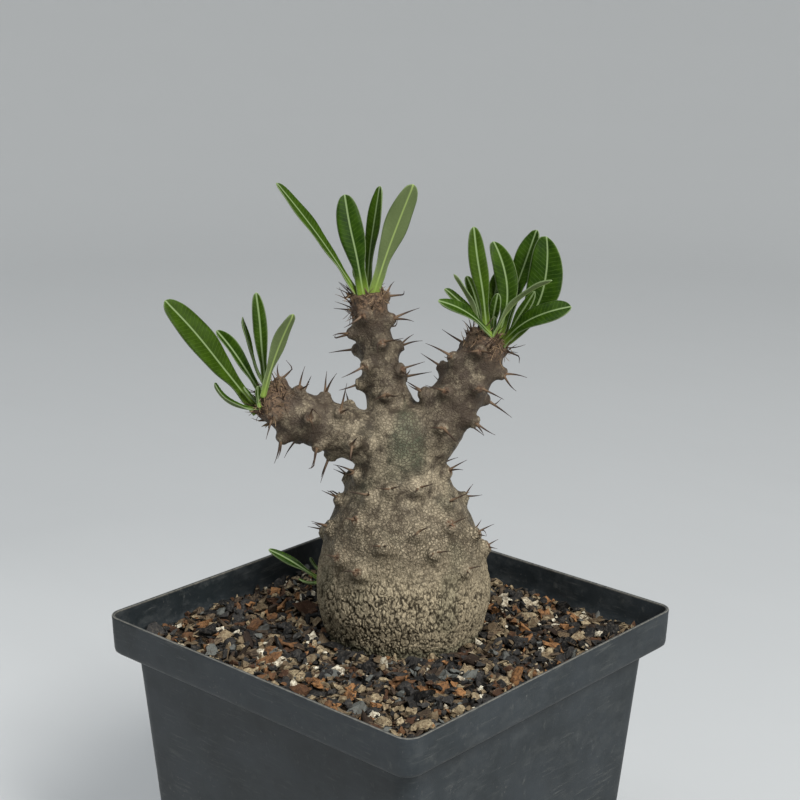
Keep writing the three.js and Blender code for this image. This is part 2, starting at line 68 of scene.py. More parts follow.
forward = Vector((
    -math.sin(CAMERA_HEADING) * math.cos(CAMERA_PITCH),
    math.cos(CAMERA_HEADING) * math.cos(CAMERA_PITCH),
    -math.sin(CAMERA_PITCH),
))
level = Vector((math.cos(CAMERA_HEADING), math.sin(CAMERA_HEADING), 0))
steep = level.cross(forward)
right = level * math.cos(CAMERA_LEAN) + steep * math.sin(CAMERA_LEAN)
up = right.cross(forward)



def placed(name, data):
    """A new object in the scene that shows a mesh, a lamp or a camera."""
    made = bpy.data.objects.new(name, data)
    bpy.context.scene.collection.objects.link(made)
    return made


lens = bpy.data.cameras.new("camera")
lens.lens = CAMERA_LENS
camera = placed("camera", lens)
camera.matrix_world = Matrix.Translation(CAMERA_PLACE) @ Matrix((right, up, -forward)).transposed().to_4x4()
bpy.context.scene.camera = camera
bpy.context.scene.view_settings.view_transform = "Standard"
print("camera to pot, mm:", round(CAMERA_PLACE.length / MM))

# %% [markdown]
# ## Shader sums as Python
# A finish is a tree of nodes, and most of its nodes do small sums on masks. `Wire` wraps one socket, so that
# `1 - mask * 0.3` adds the Math nodes itself. `Finish.add` makes any other node: its type, then its settings,
# then what goes into its sockets. Colours and vectors go through Mix and Vector Math nodes, because a Math
# node would turn a colour grey.

# %% Wire
class Wire:
    """One socket of a finish. Sums on it add Math nodes."""

    def __init__(self, finish, socket):
        self.finish = finish
        self.socket = socket

    def sum(self, operation, first, second=None, clamp=False):
        """A Math node. The other methods call it, so that a finish reads like sums on paper."""
        sockets = {0: first} if second is None else {0: first, 1: second}
        return self.finish.add("Math", {"operation": operation, "use_clamp": clamp}, sockets)

    def __add__(self, other):
        return self.sum("ADD", self, other)

    def __sub__(self, other):
        return self.sum("SUBTRACT", self, other)

    def __rsub__(self, other):
        return self.sum("SUBTRACT", other, self)

    def __mul__(self, other):
        return self.sum("MULTIPLY", self, other)

    def __abs__(self):
        return self.sum("ABSOLUTE", self)

    __radd__ = __add__
    __rmul__ = __mul__

    def clamp(self):
        """Kept between 0 and 1."""
        return self.sum("ADD", self, 0, clamp=True)

    def higher(self, other):
        return self.sum("MAXIMUM", self, other)

    def step(self, low, high):
        """0 below low, 1 above high, and a soft run between them. The two may be given backwards."""
        if low > high:
            return 1 - self.step(high, low)
        return self.finish.add("MapRange", {"interpolation_type": "SMOOTHSTEP"}, {0: self, 1: low, 2: high})


print("sums on a wire:", sum(callable(made) for made in vars(Wire).values()))


# %% Finish
class Finish:
    """One material and its nodes."""

    def __init__(self, name, **constants):
        self.material = bpy.data.materials.new(name)
        self.material.use_nodes = True
        self.tree = self.material.node_tree
        self.shader = self.tree.nodes["Principled BSDF"]
        for socket, value in constants.items():
            self.shader.inputs[socket.replace("_", " ")].default_value = value

    def add(self, kind, settings=None, sockets=None, out=0):
        """A node of one kind. Its settings are set first, then its sockets, each with a value or a wire."""
        node = self.tree.nodes.new("ShaderNode" + kind)
        for key, value in (settings or {}).items():
            setattr(node, key, value)
        for name, value in (sockets or {}).items():
            self.plug(node.inputs[name], value)
        return Wire(self, node.outputs[out])

    def plug(self, socket, value):
        """Gives a socket a wire, or a number or colour of its own."""
        if isinstance(value, Wire):
            self.tree.links.new(value.socket, socket)
        elif socket.type == "RGBA" and len(value) == 3:
            socket.default_value = (*value, 1)
        else:
            socket.default_value = value

    def place(self, stretch=(1, 1, 1)):
        """Where a point is on the object, in millimetres, times a stretch for each direction."""
        at = self.add("TexCoord", out="Object")
        scale = [1 / MM * share for share in stretch]
        return self.add("Mapping", None, {"Vector": at, "Scale": scale})

    def read(self, name, out="Fac"):
        """A value that the mesh carries at each of its points."""
        return self.add("Attribute", {"attribute_name": name}, out=out)

    def grain(self, at, size, detail=3, roughness=0.55, out="Fac"):
        """Cloudy noise with lumps of one size, in the units of at."""
        sockets = {"Vector": at, "Scale": 1 / size, "Detail": detail, "Roughness": roughness}
        return self.add("TexNoise", None, sockets, out)

    def cells(self, at, size, feature="DISTANCE_TO_EDGE"):
        """How far a point is from the edge, or with F1 from the middle, of the cell that it lies in."""
        return self.add("TexVoronoi", {"feature": feature}, {"Vector": at, "Scale": 1 / size}, "Distance")

    def colour(self, mask, first, second):
        """first where mask is 0, second where it is 1."""
        return self.add("Mix", {"data_type": "RGBA"}, {0: mask, 6: first, 7: second}, out=2)

    def coats(self, base, *coats):
        """Lays coats of colour over a base, one on another. Each is a mask and its colour."""
        for mask, colour in coats:
            base = self.colour(mask, base, colour)
        return base

    def shift(self, at, nudge, amount):
        """at, pushed about by a colour of noise, so that straight patterns wander."""
        push = self.add("VectorMath", {"operation": "SCALE"}, {0: nudge, "Scale": amount})
        return self.add("VectorMath", {"operation": "ADD"}, {0: at, 1: push})

    def bump(self, height, depth_mm, strength=1.0):
        """Relief for the light only. The depth is that of a full step of height from 0 to 1."""
        return self.add("Bump", None, {"Strength": strength, "Distance": depth_mm * MM, "Height": height})

    def set(self, **wires):
        """Plugs what varies over the surface into the shader, and returns the material."""
        for socket, wire in wires.items():
            self.plug(self.shader.inputs[socket.replace("_", " ")], wire)
        return self.material


print("ways to build a finish:", sum(callable(made) for made in vars(Finish).values()))

# %% [markdown]
# ## Pieces from lists of points
# Every piece is made in millimetres, because garden things are easier to think of that way, and turned into
# metres as its mesh is made. A mesh can carry a number at each of its points, such as how worn or how cracked
# it is there, and the finish reads it back by name.

# %% Pieces and what they carry
def piece(name, points, faces, finish, slot, replaces=(), crease=None):
    """A smooth-shaded mesh object from points in millimetres, which rides on the pot's body."""
    mesh = bpy.data.meshes.new(name)
    mesh.from_pydata((np.asarray(points, float) * MM).tolist(), [], [list(face) for face in faces])
    mesh.polygons.foreach_set("use_smooth", np.ones(len(mesh.polygons), bool))
    if crease is not None:
        mesh.set_sharp_from_angle(angle=math.radians(crease))
    mesh.validate()
    made = placed(name, mesh)
    made.data.materials.append(finish)
    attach(made, "root")
    if replaces:
        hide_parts(*replaces)
    return made


def carry(made, name, values, kind="FLOAT"):
    """Writes one number, or one vector, at each point of a piece's mesh."""
    layer = made.data.attributes.new(name, kind, "POINT")
    field = "value" if kind == "FLOAT" else "vector"
    layer.data.foreach_set(field, np.asarray(values, np.float32).ravel())


print("pieces ride on root")


# %% Packed nodes and rows of points
def opened(name):
    """A packed node's mesh, opened for editing, with points that coincide made one."""
    bm = bmesh.new()
    bm.from_mesh(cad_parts[name].data)
    bmesh.ops.remove_doubles(bm, verts=bm.verts, dist=0.001 * MM)
    return bm


def closed(bm):
    """Closes an opened mesh, and returns its points and its faces."""
    bm.verts.index_update()
    points = np.array([v.co for v in bm.verts])
    faces = [[v.index for v in face.verts] for face in bm.faces]
    bm.free()
    return points, faces


def node_mesh(name):
    """A packed node's points, in millimetres, and its triangles."""
    points, faces = closed(opened(name))
    return points / MM, faces


def wrapped(rows, count, first=0, inward=False):
    """Four-sided faces between closed rows of points, count points to a row, that follow each other in a list."""
    faces = []
    for row in range(rows - 1):
        for at in range(count):
            a, b = first + row * count + at, first + row * count + (at + 1) % count
            faces.append((a, a + count, b + count, b) if inward else (a, b, b + count, a + count))
    return faces


def neighbours(points, faces):
    """For each point, the points that an edge joins it to."""
    near = [set() for _ in points]
    for face in faces:
        for at in range(len(face)):
            near[face[at]].update((face[at - 1], face[(at + 1) % len(face)]))
    return near


def unit(vector):
    """A vector made 1 long."""
    return vector / max(np.linalg.norm(vector), 1e-9)


def smoothstep(low, high, value):
    """0 before low, 1 past high, and a soft run between them. The two may be given backwards."""
    t = np.clip((value - low) / (high - low), 0, 1)
    return t * t * (3 - 2 * t)


print("nodes in the frame:", len(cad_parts))

# %% [markdown]
# ## The pot
# A thin-walled nursery pot, moulded in one piece of dull black-grey plastic: a stepped-out band around the
# top, walls that draw in towards the foot, and a raised floor with five drain holes. It could be a cube with
# modifiers, but rings that follow a rounded square give the thin lip and every rounded edge exactly, so the
# pot is lofted from a list of rings. The sides at each height are read from the packed pot.

# %% Pot rings
pot_points, _ = node_mesh("pot")
POT_TOP = pot_points[:, 2].max()


def pot_side(height):
    """Half the pot's width at one of the heights where the packed pot has an edge."""
    return float(pot_points[abs(pot_points[:, 2] - height) < 0.05][:, 0].max())


BAND_BOTTOM, FLOOR_BELOW, FLOOR_ABOVE = 85.0, 2.5, 3.5
rim, band_foot = pot_side(POT_TOP), pot_side(BAND_BOTTOM)
foot = pot_side(0)
STEP_OUT = 4.2  # how far the band stands out past the wall below it
body = band_foot - STEP_OUT
WALL, LIP = 1.0, 0.75  # the wall, and how thin it is at its top edge

OUTER_RINGS, INNER_RINGS = 13, 6  # rings on the plain wall, outside and inside
OUTER_BOW, INNER_BOW = 0.55, 0.5  # how far the wall draws in halfway along a side

# Each ring is half its side, its corner radius, its height, how worn and painted with a highlight it is, and how far
# its sides bow.
POT_RINGS = [
    (foot - 4.0, 1.4, FLOOR_BELOW, 0, 0),
    (foot - 3.9, 1.5, FLOOR_BELOW - 0.5, 0, 0),
    (foot - 3.6, 1.7, 0.25, 0.2, 0),
    (foot - 3.2, 2.0, 0, 0.6, 0),
    (foot - 0.8, 4.5, 0, 0.6, 0),
    (foot - 0.25, 4.85, 0.2, 0.7, 0),
    (foot, 5.0, 0.8, 0.5, 0),
]
for step in range(1, OUTER_RINGS):
    share = step / OUTER_RINGS
    side = foot + (body - foot) * share
    POT_RINGS.append((side, 5 - share / 2, BAND_BOTTOM * share, 0, OUTER_BOW * math.sin(math.pi * share)))
POT_RINGS += [
    (body - 0.08, 4.5, BAND_BOTTOM - 1.4, 0, 0),
    (body, 4.5, BAND_BOTTOM - 0.7, 0.1, 0),
    (body + 0.3, 4.4, BAND_BOTTOM - 0.15, 0.1, 0),
    (body + 1.0, 4.2, BAND_BOTTOM, 0, 0),
    (band_foot - 1.3, 3.6, BAND_BOTTOM, 0, 0),
    (band_foot - 0.65, 3.7, BAND_BOTTOM + 0.2, 0.25, 0),
    (band_foot - 0.18, 3.85, BAND_BOTTOM + 0.65, 0.55, 0),
    (band_foot, 4.0, BAND_BOTTOM + 1.4, 0.25, 0),
    (band_foot + 0.08, 4.0, BAND_BOTTOM + 3.5, 0.05, 0.05),
    (band_foot + 0.18, 4.0, BAND_BOTTOM + 6.2, 0.05, 0.1),
    (rim - 0.05, 4.0, POT_TOP - 1.1, 0.1, 0.12),
    (rim, 4.0, POT_TOP - 0.3, 0.15, 0.12),
    (rim - 0.1, 3.9, POT_TOP - 0.07, 0.9, 0.12),
    (rim - 0.28, 3.75, POT_TOP, 0.7, 0.12),
    (rim - LIP + 0.2, 3.5, POT_TOP, 0.5, 0.12),
    (rim - LIP, 3.3, POT_TOP - 0.15, 0.9, 0.12),
    (rim - LIP - 0.06, 3.2, POT_TOP - 0.8, 0.1, 0.12),
    (band_foot - WALL + 0.2, 3.1, BAND_BOTTOM + 4, 0, 0.05),
    (band_foot - WALL, 3.1, BAND_BOTTOM + WALL + 0.8, 0, 0),
    (band_foot - WALL - 0.5, 2.6, BAND_BOTTOM + WALL, 0, 0),
    (body - WALL + 0.3, 3.7, BAND_BOTTOM + WALL, 0, 0),
    (body - WALL, 3.6, BAND_BOTTOM + WALL - 0.6, 0, 0),
]
for step in range(1, INNER_RINGS + 1):
    share = 1 - step / INNER_RINGS
    height = FLOOR_ABOVE + 0.6 + (BAND_BOTTOM - FLOOR_ABOVE) * share
    side = foot + (body - foot) * height / BAND_BOTTOM - WALL
    POT_RINGS.append((side, 4 - share / 2, height, 0, INNER_BOW * math.sin(math.pi * height / BAND_BOTTOM)))
POT_RINGS.append((POT_RINGS[-1][0] - 0.6, 3.4, FLOOR_ABOVE, 0, 0))
print("pot rings:", len(POT_RINGS), "half sides, mm:", [round(float(s), 1) for s in (foot, body, band_foot, rim)])

# %% [markdown]
# A moulded wall is never quite flat: it draws in a little halfway along each side as the plastic cools, so
# each ring bows in by up to half a millimetre. The two floors close the loft, and five short cylinders are
# cut out of them with a Boolean for the drain holes.

# %% Pot mesh
CORNER_STEPS, SIDE_STEPS = 10, 14


def square_ring(half, radius, bow=0):
    """A rounded square, counterclockwise, with the same number of points whatever its size."""
    ring = []
    reach = half - radius
    for turn in range(4):
        side_on = np.array([math.cos(turn * math.pi / 2), math.sin(turn * math.pi / 2)])
        side_along = np.array([-side_on[1], side_on[0]])
        for step in range(SIDE_STEPS):
            share = (step + 0.5) / SIDE_STEPS * 2 - 1
            ring.append(side_on * (half - bow * math.cos(share * math.pi / 2) ** 2) + side_along * reach * share)
        for step in range(CORNER_STEPS + 1):
            angle = step / CORNER_STEPS * math.pi / 2
            ring.append(
                side_on * (reach + radius * math.cos(angle)) + side_along * (reach + radius * math.sin(angle))
            )
    return np.array(ring)


points, worn_and_highlit = [], []
for half, radius, height, wear_and_highlight, bow in POT_RINGS:
    ring = square_ring(half, radius, bow)
    points += [(x, y, height) for x, y in ring]
    worn_and_highlit += [wear_and_highlight] * len(ring)
count = len(points) // len(POT_RINGS)
faces = wrapped(len(POT_RINGS), count)
faces.append(list(range(count))[::-1])
faces.append([len(points) - count + at for at in range(count)])
print("pot mesh:", len(points), "points")

# %% [markdown]
# ## Moulded plastic
# Recycled black plastic that has stood in a glasshouse: a grey-green charcoal, dull, with a very fine pebble
# from the mould. Handling has left faint pale scuffs that run along the sides, dried water has left soft
# cloudy marks, and the top edge and the lower edge of the band are paler, partly from wear and partly as a
# painted highlight. Colour, roughness and relief all read the same few masks, so that a scuff is paler, rougher
# and slightly raised at once.

# %% Plastic finish
def plastic_finish():
    f = Finish("pot_plastic", IOR=1.46, Specular_IOR_Level=0.4)
    at = f.place()
    cloud = f.grain(at, 22, 5, 0.65)
    dust = f.grain(f.place((1, 1, 1.7)), 6, 7, 0.7).step(0.44, 0.70)
    streaks = f.grain(f.place((0.14, 0.14, 1.5)), 1.3, 6, 0.75).step(0.52, 0.72)
    slants = f.grain(f.place((0.5, 0.5, 0.35)), 1.2, 6, 0.75).step(0.56, 0.72)
    patch = f.grain(at, 13, 3).step(0.42, 0.64)
    scuff = (streaks * patch).higher(slants * (1 - patch) * 0.7)
    fleck = f.grain(at, 0.8, 2, 0.6).step(0.64, 0.74) * f.grain(at, 9, 2).step(0.48, 0.62)
    wear_and_highlight = f.read("worn_and_highlit")
    # Wear and painted highlight: the lip and the band's edges are painted paler, partly as real wear and partly as a
    # painted highlight.
    edge = (wear_and_highlight * (0.3 + f.grain(at, 1.4, 5, 0.75))).step(0.3, 0.9)
    base = f.colour(cloud.step(0.3, 0.7), (0.008, 0.012, 0.014), (0.020, 0.026, 0.031))
    base = f.coats(
        base,
        (dust * 0.5, (0.052, 0.058, 0.060)),
        (scuff * 0.6, (0.10, 0.105, 0.10)),
        (fleck * 0.3, (0.17, 0.165, 0.15)),
        (edge * 0.65, (0.25, 0.235, 0.20)),
    )
    rough = 0.46 + dust * 0.18 + scuff * 0.14 + f.grain(at, 3, 2) * 0.08
    pebble = f.grain(at, 0.35, 2, 0.5)
    relief = pebble * 0.35 + scuff * 0.5 + f.grain(at, 5, 4) * 0.9
    return f.set(Base_Color=base, Roughness=rough, Normal=f.bump(relief, 0.08, 0.8))


pot = piece("pot_shell", points, faces, plastic_finish(), "pot_plastic", ["pot"])
carry(pot, "worn_and_highlit", worn_and_highlit)


print("pot_shell:", len(pot.data.vertices), "points")


# %% Drain holes
def drill_holes(shell, radius=3.5, reach=foot - 12, deep=6.0):
    """Cuts the five drain holes through the floor with one Boolean."""
    bm = bmesh.new()
    for x, y in [(0, 0), (reach, reach), (-reach, reach), (-reach, -reach), (reach, -reach)]:
        place = Matrix.Translation(Vector((x, y, deep / 2)) * MM)
        bmesh.ops.create_cone(
            bm, cap_ends=True, segments=32, radius1=radius * MM, radius2=radius * MM, depth=deep * MM, matrix=place
        )
    mesh = bpy.data.meshes.new("drill")
    bm.to_mesh(mesh)
    bm.free()
    drill = placed("drill", mesh)
    cut = shell.modifiers.new("drain", "BOOLEAN")
    cut.operation, cut.object, cut.solver = "DIFFERENCE", drill, "EXACT"
    apply_modifiers(shell)
    bpy.data.objects.remove(drill)


def apply_modifiers(made):
    """Makes what an object's modifiers show its own mesh."""
    view = bpy.context.evaluated_depsgraph_get()
    seen = made.evaluated_get(view)
    mesh = bpy.data.meshes.new_from_object(seen, preserve_all_data_layers=True, depsgraph=view)
    made.modifiers.clear()
    made.data = mesh


drill_holes(pot)
pot.data.set_sharp_from_angle(angle=math.radians(40))
print("pot faces:", len(pot.data.polygons))

# %% [markdown]
# ## The caudex and its branches
# The swollen trunk of a pachypodium, its caudex, stores water under a thin bark. As it swells, the bark of the
# oldest part splits into small plates with dark cracks that run mostly upward, while the younger bark above
# stays stretched and smooth. Each leaf that fell left a pair of spines on a low mound. All of this is relief,
# so the packed stem is first turned into one even, dense skin: its spines are pressed flat and remembered, a
# voxel Remesh welds it, and a few rounds of smoothing take the facets away. The detail is then pushed out of
# that skin with sums on its points, which is how a sculptor would work with masks.

# %% Press the spines flat
STEM_VOXEL = 0.5  # millimetres
SMOOTH_ROUNDS = 26
SPINE_ANGLE = 75.0  # degrees of face around a spine's tip, all together, at the most
LOWEST_SPINE = 90.0  # millimetres: a sharp point below this is the tip of a root


def corner_sums(points, faces):
    """The angles of the faces that meet at each point, added up, in degrees."""
    total = np.zeros(len(points))
    for face in faces:
        corners = points[face]
        for at in range(len(face)):
            one = corners[at - 1] - corners[at]
            other = corners[(at + 1) % len(face)] - corners[at]
            total[face[at]] += math.degrees(Vector(one).angle(Vector(other)))
    return total


stem_points, stem_faces = node_mesh("caudex_and_branches")
around = neighbours(stem_points, stem_faces)
sharp = [i for i, total in enumerate(corner_sums(stem_points, stem_faces)) if total < SPINE_ANGLE]
spines = []  # where each spine starts, and its tip
for tip in sharp:
    spines.append((stem_points[list(around[tip])].mean(0), stem_points[tip].copy()))
spines = [(root, tip) for root, tip in spines if tip[2] > LOWEST_SPINE]
for tip in sharp:
    stem_points[tip] = stem_points[list(around[tip])].mean(0)
print("spines pressed flat:", len(spines))

# %% Weld the skin
def mesh_lists(mesh):
    """A mesh's points, as an array, and its faces."""
    skin = np.zeros(len(mesh.vertices) * 3, np.float32)
    mesh.vertices.foreach_get("co", skin)
    return skin.reshape(-1, 3).astype(float), [tuple(face.vertices) for face in mesh.polygons]


def welded(points, faces, voxel, rounds):
    """A voxel remesh of a closed mesh, smoothed, as points in millimetres and faces."""
    mesh = bpy.data.meshes.new("weld")
    mesh.from_pydata(points.tolist(), [], faces)
    made = placed("weld", mesh)
    remesh = made.modifiers.new("remesh", "REMESH")
    remesh.mode, remesh.voxel_size = "VOXEL", voxel
    smooth = made.modifiers.new("smooth", "SMOOTH")
    smooth.factor, smooth.iterations = 0.5, rounds
    apply_modifiers(made)
    points, faces = mesh_lists(made.data)
    bpy.data.objects.remove(made)
    return points, faces


skin, skin_faces = welded(stem_points, stem_faces, STEM_VOXEL, SMOOTH_ROUNDS)
print("welded:", len(skin), "points")


# %% Clean the skin and cut it finer
def largest_part(points, faces):
    """Only the largest connected part of a mesh, so that no crumb of a pressed spine floats beside it."""
    quads = np.array(faces)
    part = np.arange(len(points))
    while True:
        lowest = part.copy()
        np.minimum.at(lowest, quads.ravel(), np.repeat(part[quads].min(1), quads.shape[1]))
        lowest = lowest[lowest]
        if (lowest == part).all():
            break
        part = lowest
    names, counts = np.unique(part, return_counts=True)
    kept = part == names[counts.argmax()]
    number = np.cumsum(kept) - 1
    return points[kept], [tuple(face) for face in number[quads[kept[quads[:, 0]]]].tolist()]


def normals_of(points, faces):
    """The direction that the skin faces at each of its points."""
    quads = np.array([(*face, face[-1])[:4] for face in faces])
    across = np.cross(points[quads[:, 2]] - points[quads[:, 0]], points[quads[:, 3]] - points[quads[:, 1]])
    total = np.zeros_like(points)
    for corner in range(4):
        np.add.at(total, quads[:, corner], across)
    return total / np.maximum(np.linalg.norm(total, axis=1, keepdims=True), 1e-12)


def cut_finer(points, faces, low, high):
    """Each face between two heights cut in four, so that cracks can be pushed into it."""
    mesh = bpy.data.meshes.new("cut")
    mesh.from_pydata(points.tolist(), [], faces)
    bm = bmesh.new()
    bm.from_mesh(mesh)
    chosen = [edge for edge in bm.edges if all(low < v.co.z < high for v in edge.verts)]
    bmesh.ops.subdivide_edges(bm, edges=chosen, cuts=1, use_grid_fill=True)
    bm.to_mesh(mesh)
    bm.free()
    points, faces = mesh_lists(mesh)
    bpy.data.meshes.remove(mesh)
    return points, faces


GRIT_TOP = 87.0  # the height of the grit, which rise is measured from
CRACKED = (-2, 29)  # the lowest and highest rise of the bark that is cut finer for cracks
skin, skin_faces = largest_part(skin, skin_faces)
skin, skin_faces = cut_finer(skin, skin_faces, GRIT_TOP + CRACKED[0], GRIT_TOP + CRACKED[1])
print("skin:", len(skin), "points,", len(skin_faces), "faces")

# %% [markdown]
# ### Mounds, scars and cracks
# The pairs of spines say where each leaf once grew, so the mounds are found by gathering spines whose feet are
# close together. On the trunk the mounds have been stretched sideways by the swelling, and each carries a
# round scar like an eye. The cracks follow the edges of Voronoi cells that are longer upward than across.

# %% Mounds
def gathered(places, reach):
    """The middles of groups of places that lie within reach of each other."""
    groups = []
    for place in places:
        for group in groups:
            if np.linalg.norm(np.mean(group, 0) - place) < reach:
                group.append(place)
                break
        else:
            groups.append([place])
    return np.array([np.mean(group, 0) for group in groups])


PAIR_REACH = 2.2  # millimetres: the feet of one mound's spines are closer together than this
BELLY_RISE = 12  # the rise of the widest part of the trunk
mounds = gathered([root for root, _ in spines], PAIR_REACH)
axis = skin[abs(skin[:, 2] - GRIT_TOP - BELLY_RISE) < 1].mean(0)[:2]
outward = skin[:, :2] - axis
heading = np.arctan2(outward[:, 1], outward[:, 0])
rise = skin[:, 2] - GRIT_TOP
plated = smoothstep(30, 13, rise + 1.4 * np.sin(heading * 3 + 1) + np.sin(heading * 7))
print("mounds:", len(mounds), "trunk axis, mm:", axis.round(1))

# %% Noise and cells
def clouds(points, size, seed):
    """Smooth noise from -1 to 1, with lumps of one size in millimetres."""
    move = Vector((seed * 13.7, seed * 5.1, seed * 3.3))
    return np.array([noise.noise(Vector(point) / size + move) for point in points])


def cracks(points, size, stretch, wander, seed):
    """How far each point is from the edge of a cell, with the cells made longer upward."""
    found = np.empty(len(points))
    move = Vector((seed * 7.3, seed * 2.9, seed * 11.1))
    for i, point in enumerate(points):
        at = Vector((point[0] / size, point[1] / size, point[2] / size / stretch)) + move
        at += Vector((noise.noise(at * 1.7), noise.noise(at * 1.7 + move), 0)) * wander
        near = noise.voronoi(at)[0]
        found[i] = near[1] - near[0]
    return found


uneven = clouds(skin, 4.5, 12)
print("clouds reach from", uneven.min().round(2), "to", uneven.max().round(2))

# %% Push the mounds out
TRUNK_TOP = 45  # the rise at which the trunk gives way to the branches
MOUND_SPREAD = 10  # a mound shapes the skin no further away than this
TRUNK_MOUND, BRANCH_MOUND = (4.3, 2.0), (2.1, 1.5)  # how wide and how tall a mound is, each from its middle
NO_CONTOUR = 9.0

normals = normals_of(skin, skin_faces)
push, scar, lump = np.zeros((3, len(skin)))
contour = np.full(len(skin), NO_CONTOUR)
for index, mound in enumerate(mounds):
    away = skin - mound
    far = np.linalg.norm(away, axis=1)
    near = far < MOUND_SPREAD
    trunk = mound[2] - GRIT_TOP < TRUNK_TOP
    size = 1 + 0.38 * math.sin(index * 2.4)
    wide, tall = (TRUNK_MOUND[0] * size, TRUNK_MOUND[1]) if trunk else BRANCH_MOUND
    slant = 0.25 * math.sin(index * 1.7)
    along = np.hypot(away[near, 0], away[near, 1])
    up_by = away[near, 2] - slant * along + (0.5 if trunk else 0)
    oval = np.hypot(along / wide, np.where(up_by > 0, up_by / (tall * 1.3), up_by / tall))
    swell = np.exp(-(oval**2))
    # Painted highlight: this mask paints each mound paler in the bark's finish.
    lump[near] = np.maximum(lump[near], swell)
    contour[near] = np.minimum(contour[near], oval * (wide + tall) / 2)
    ring = np.exp(-(((far[near] - 1.2 * size) / 0.34) ** 2))
    pit = np.exp(-((far[near] / 0.7) ** 2))
    eye = 0.30 if math.sin(index * 3.7) > 0.3 else 0.08
    push[near] += (0.62 * size if trunk else 0.75) * swell + eye * ring - 0.34 * pit
    redness = 0.3 + 0.6 * (math.sin(index * 5.1) > 0.4) if trunk else 0.7
    scar[near] = np.maximum(scar[near], redness * np.exp(-((far[near] / 1.15) ** 2)))
print("pushed out, mm:", push.max().round(2))

# %% Push the cracks in
low_trunk = rise < CRACKED[1] + 2
plates, fine_plates = np.ones((2, len(skin)))
plates[low_trunk] = cracks(skin[low_trunk], 1.5, 2.1, 0.9, 1)
fine_plates[low_trunk] = cracks(skin[low_trunk], 0.85, 2.6, 0.5, 2)
split = smoothstep(0.05 + 0.14 * plated + 0.06 * uneven, 0.03, plates)
fine_split = smoothstep(0.17 + 0.08 * uneven, 0.03, fine_plates)
above_grit = smoothstep(-3, 1, rise)
push += plated * above_grit * (0.08 - 0.34 * split - 0.07 * fine_split)
push += 0.36 * clouds(skin, 5.5, 3) + 0.22 * clouds(skin, 2.2, 4) + 0.10 * clouds(skin, 1.1, 5) * (1 - plated)
push *= smoothstep(-6, 0, rise)
skin = skin + normals * push[:, None]
crack = plated * np.maximum(split, 0.42 * fine_split)
print("relief, mm:", push.min().round(2), "to", push.max().round(2))

# %% Find the crowns
crowns = {}  # where the leaves of each branch start
for branch in ("left", "middle", "right"):
    feet = []
    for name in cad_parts:
        if name.startswith(branch + "_leaf"):
            points, _ = node_mesh(name)
            lowest = [np.linalg.norm(skin - point, axis=1).min() for point in points]
            feet.append(points[int(np.argmin(lowest))])
    crowns[branch] = np.mean(feet, axis=0)
print("crowns, mm:", {name: at.round(1).tolist() for name, at in crowns.items()})

# %% [markdown]
# ### Bark
# Young bark is smooth, taupe and faintly shiny. On the swollen part it turns to dull beige plates over dark
# cracks, with a green-grey cast where the living skin shows through the thin bark, and the scars on the mounds
# are red-brown. The masks for the plates, mounds and scars come from the mesh, and finer noise is added here.
# The mounds are also painted paler, a painted highlight on their raised tops.

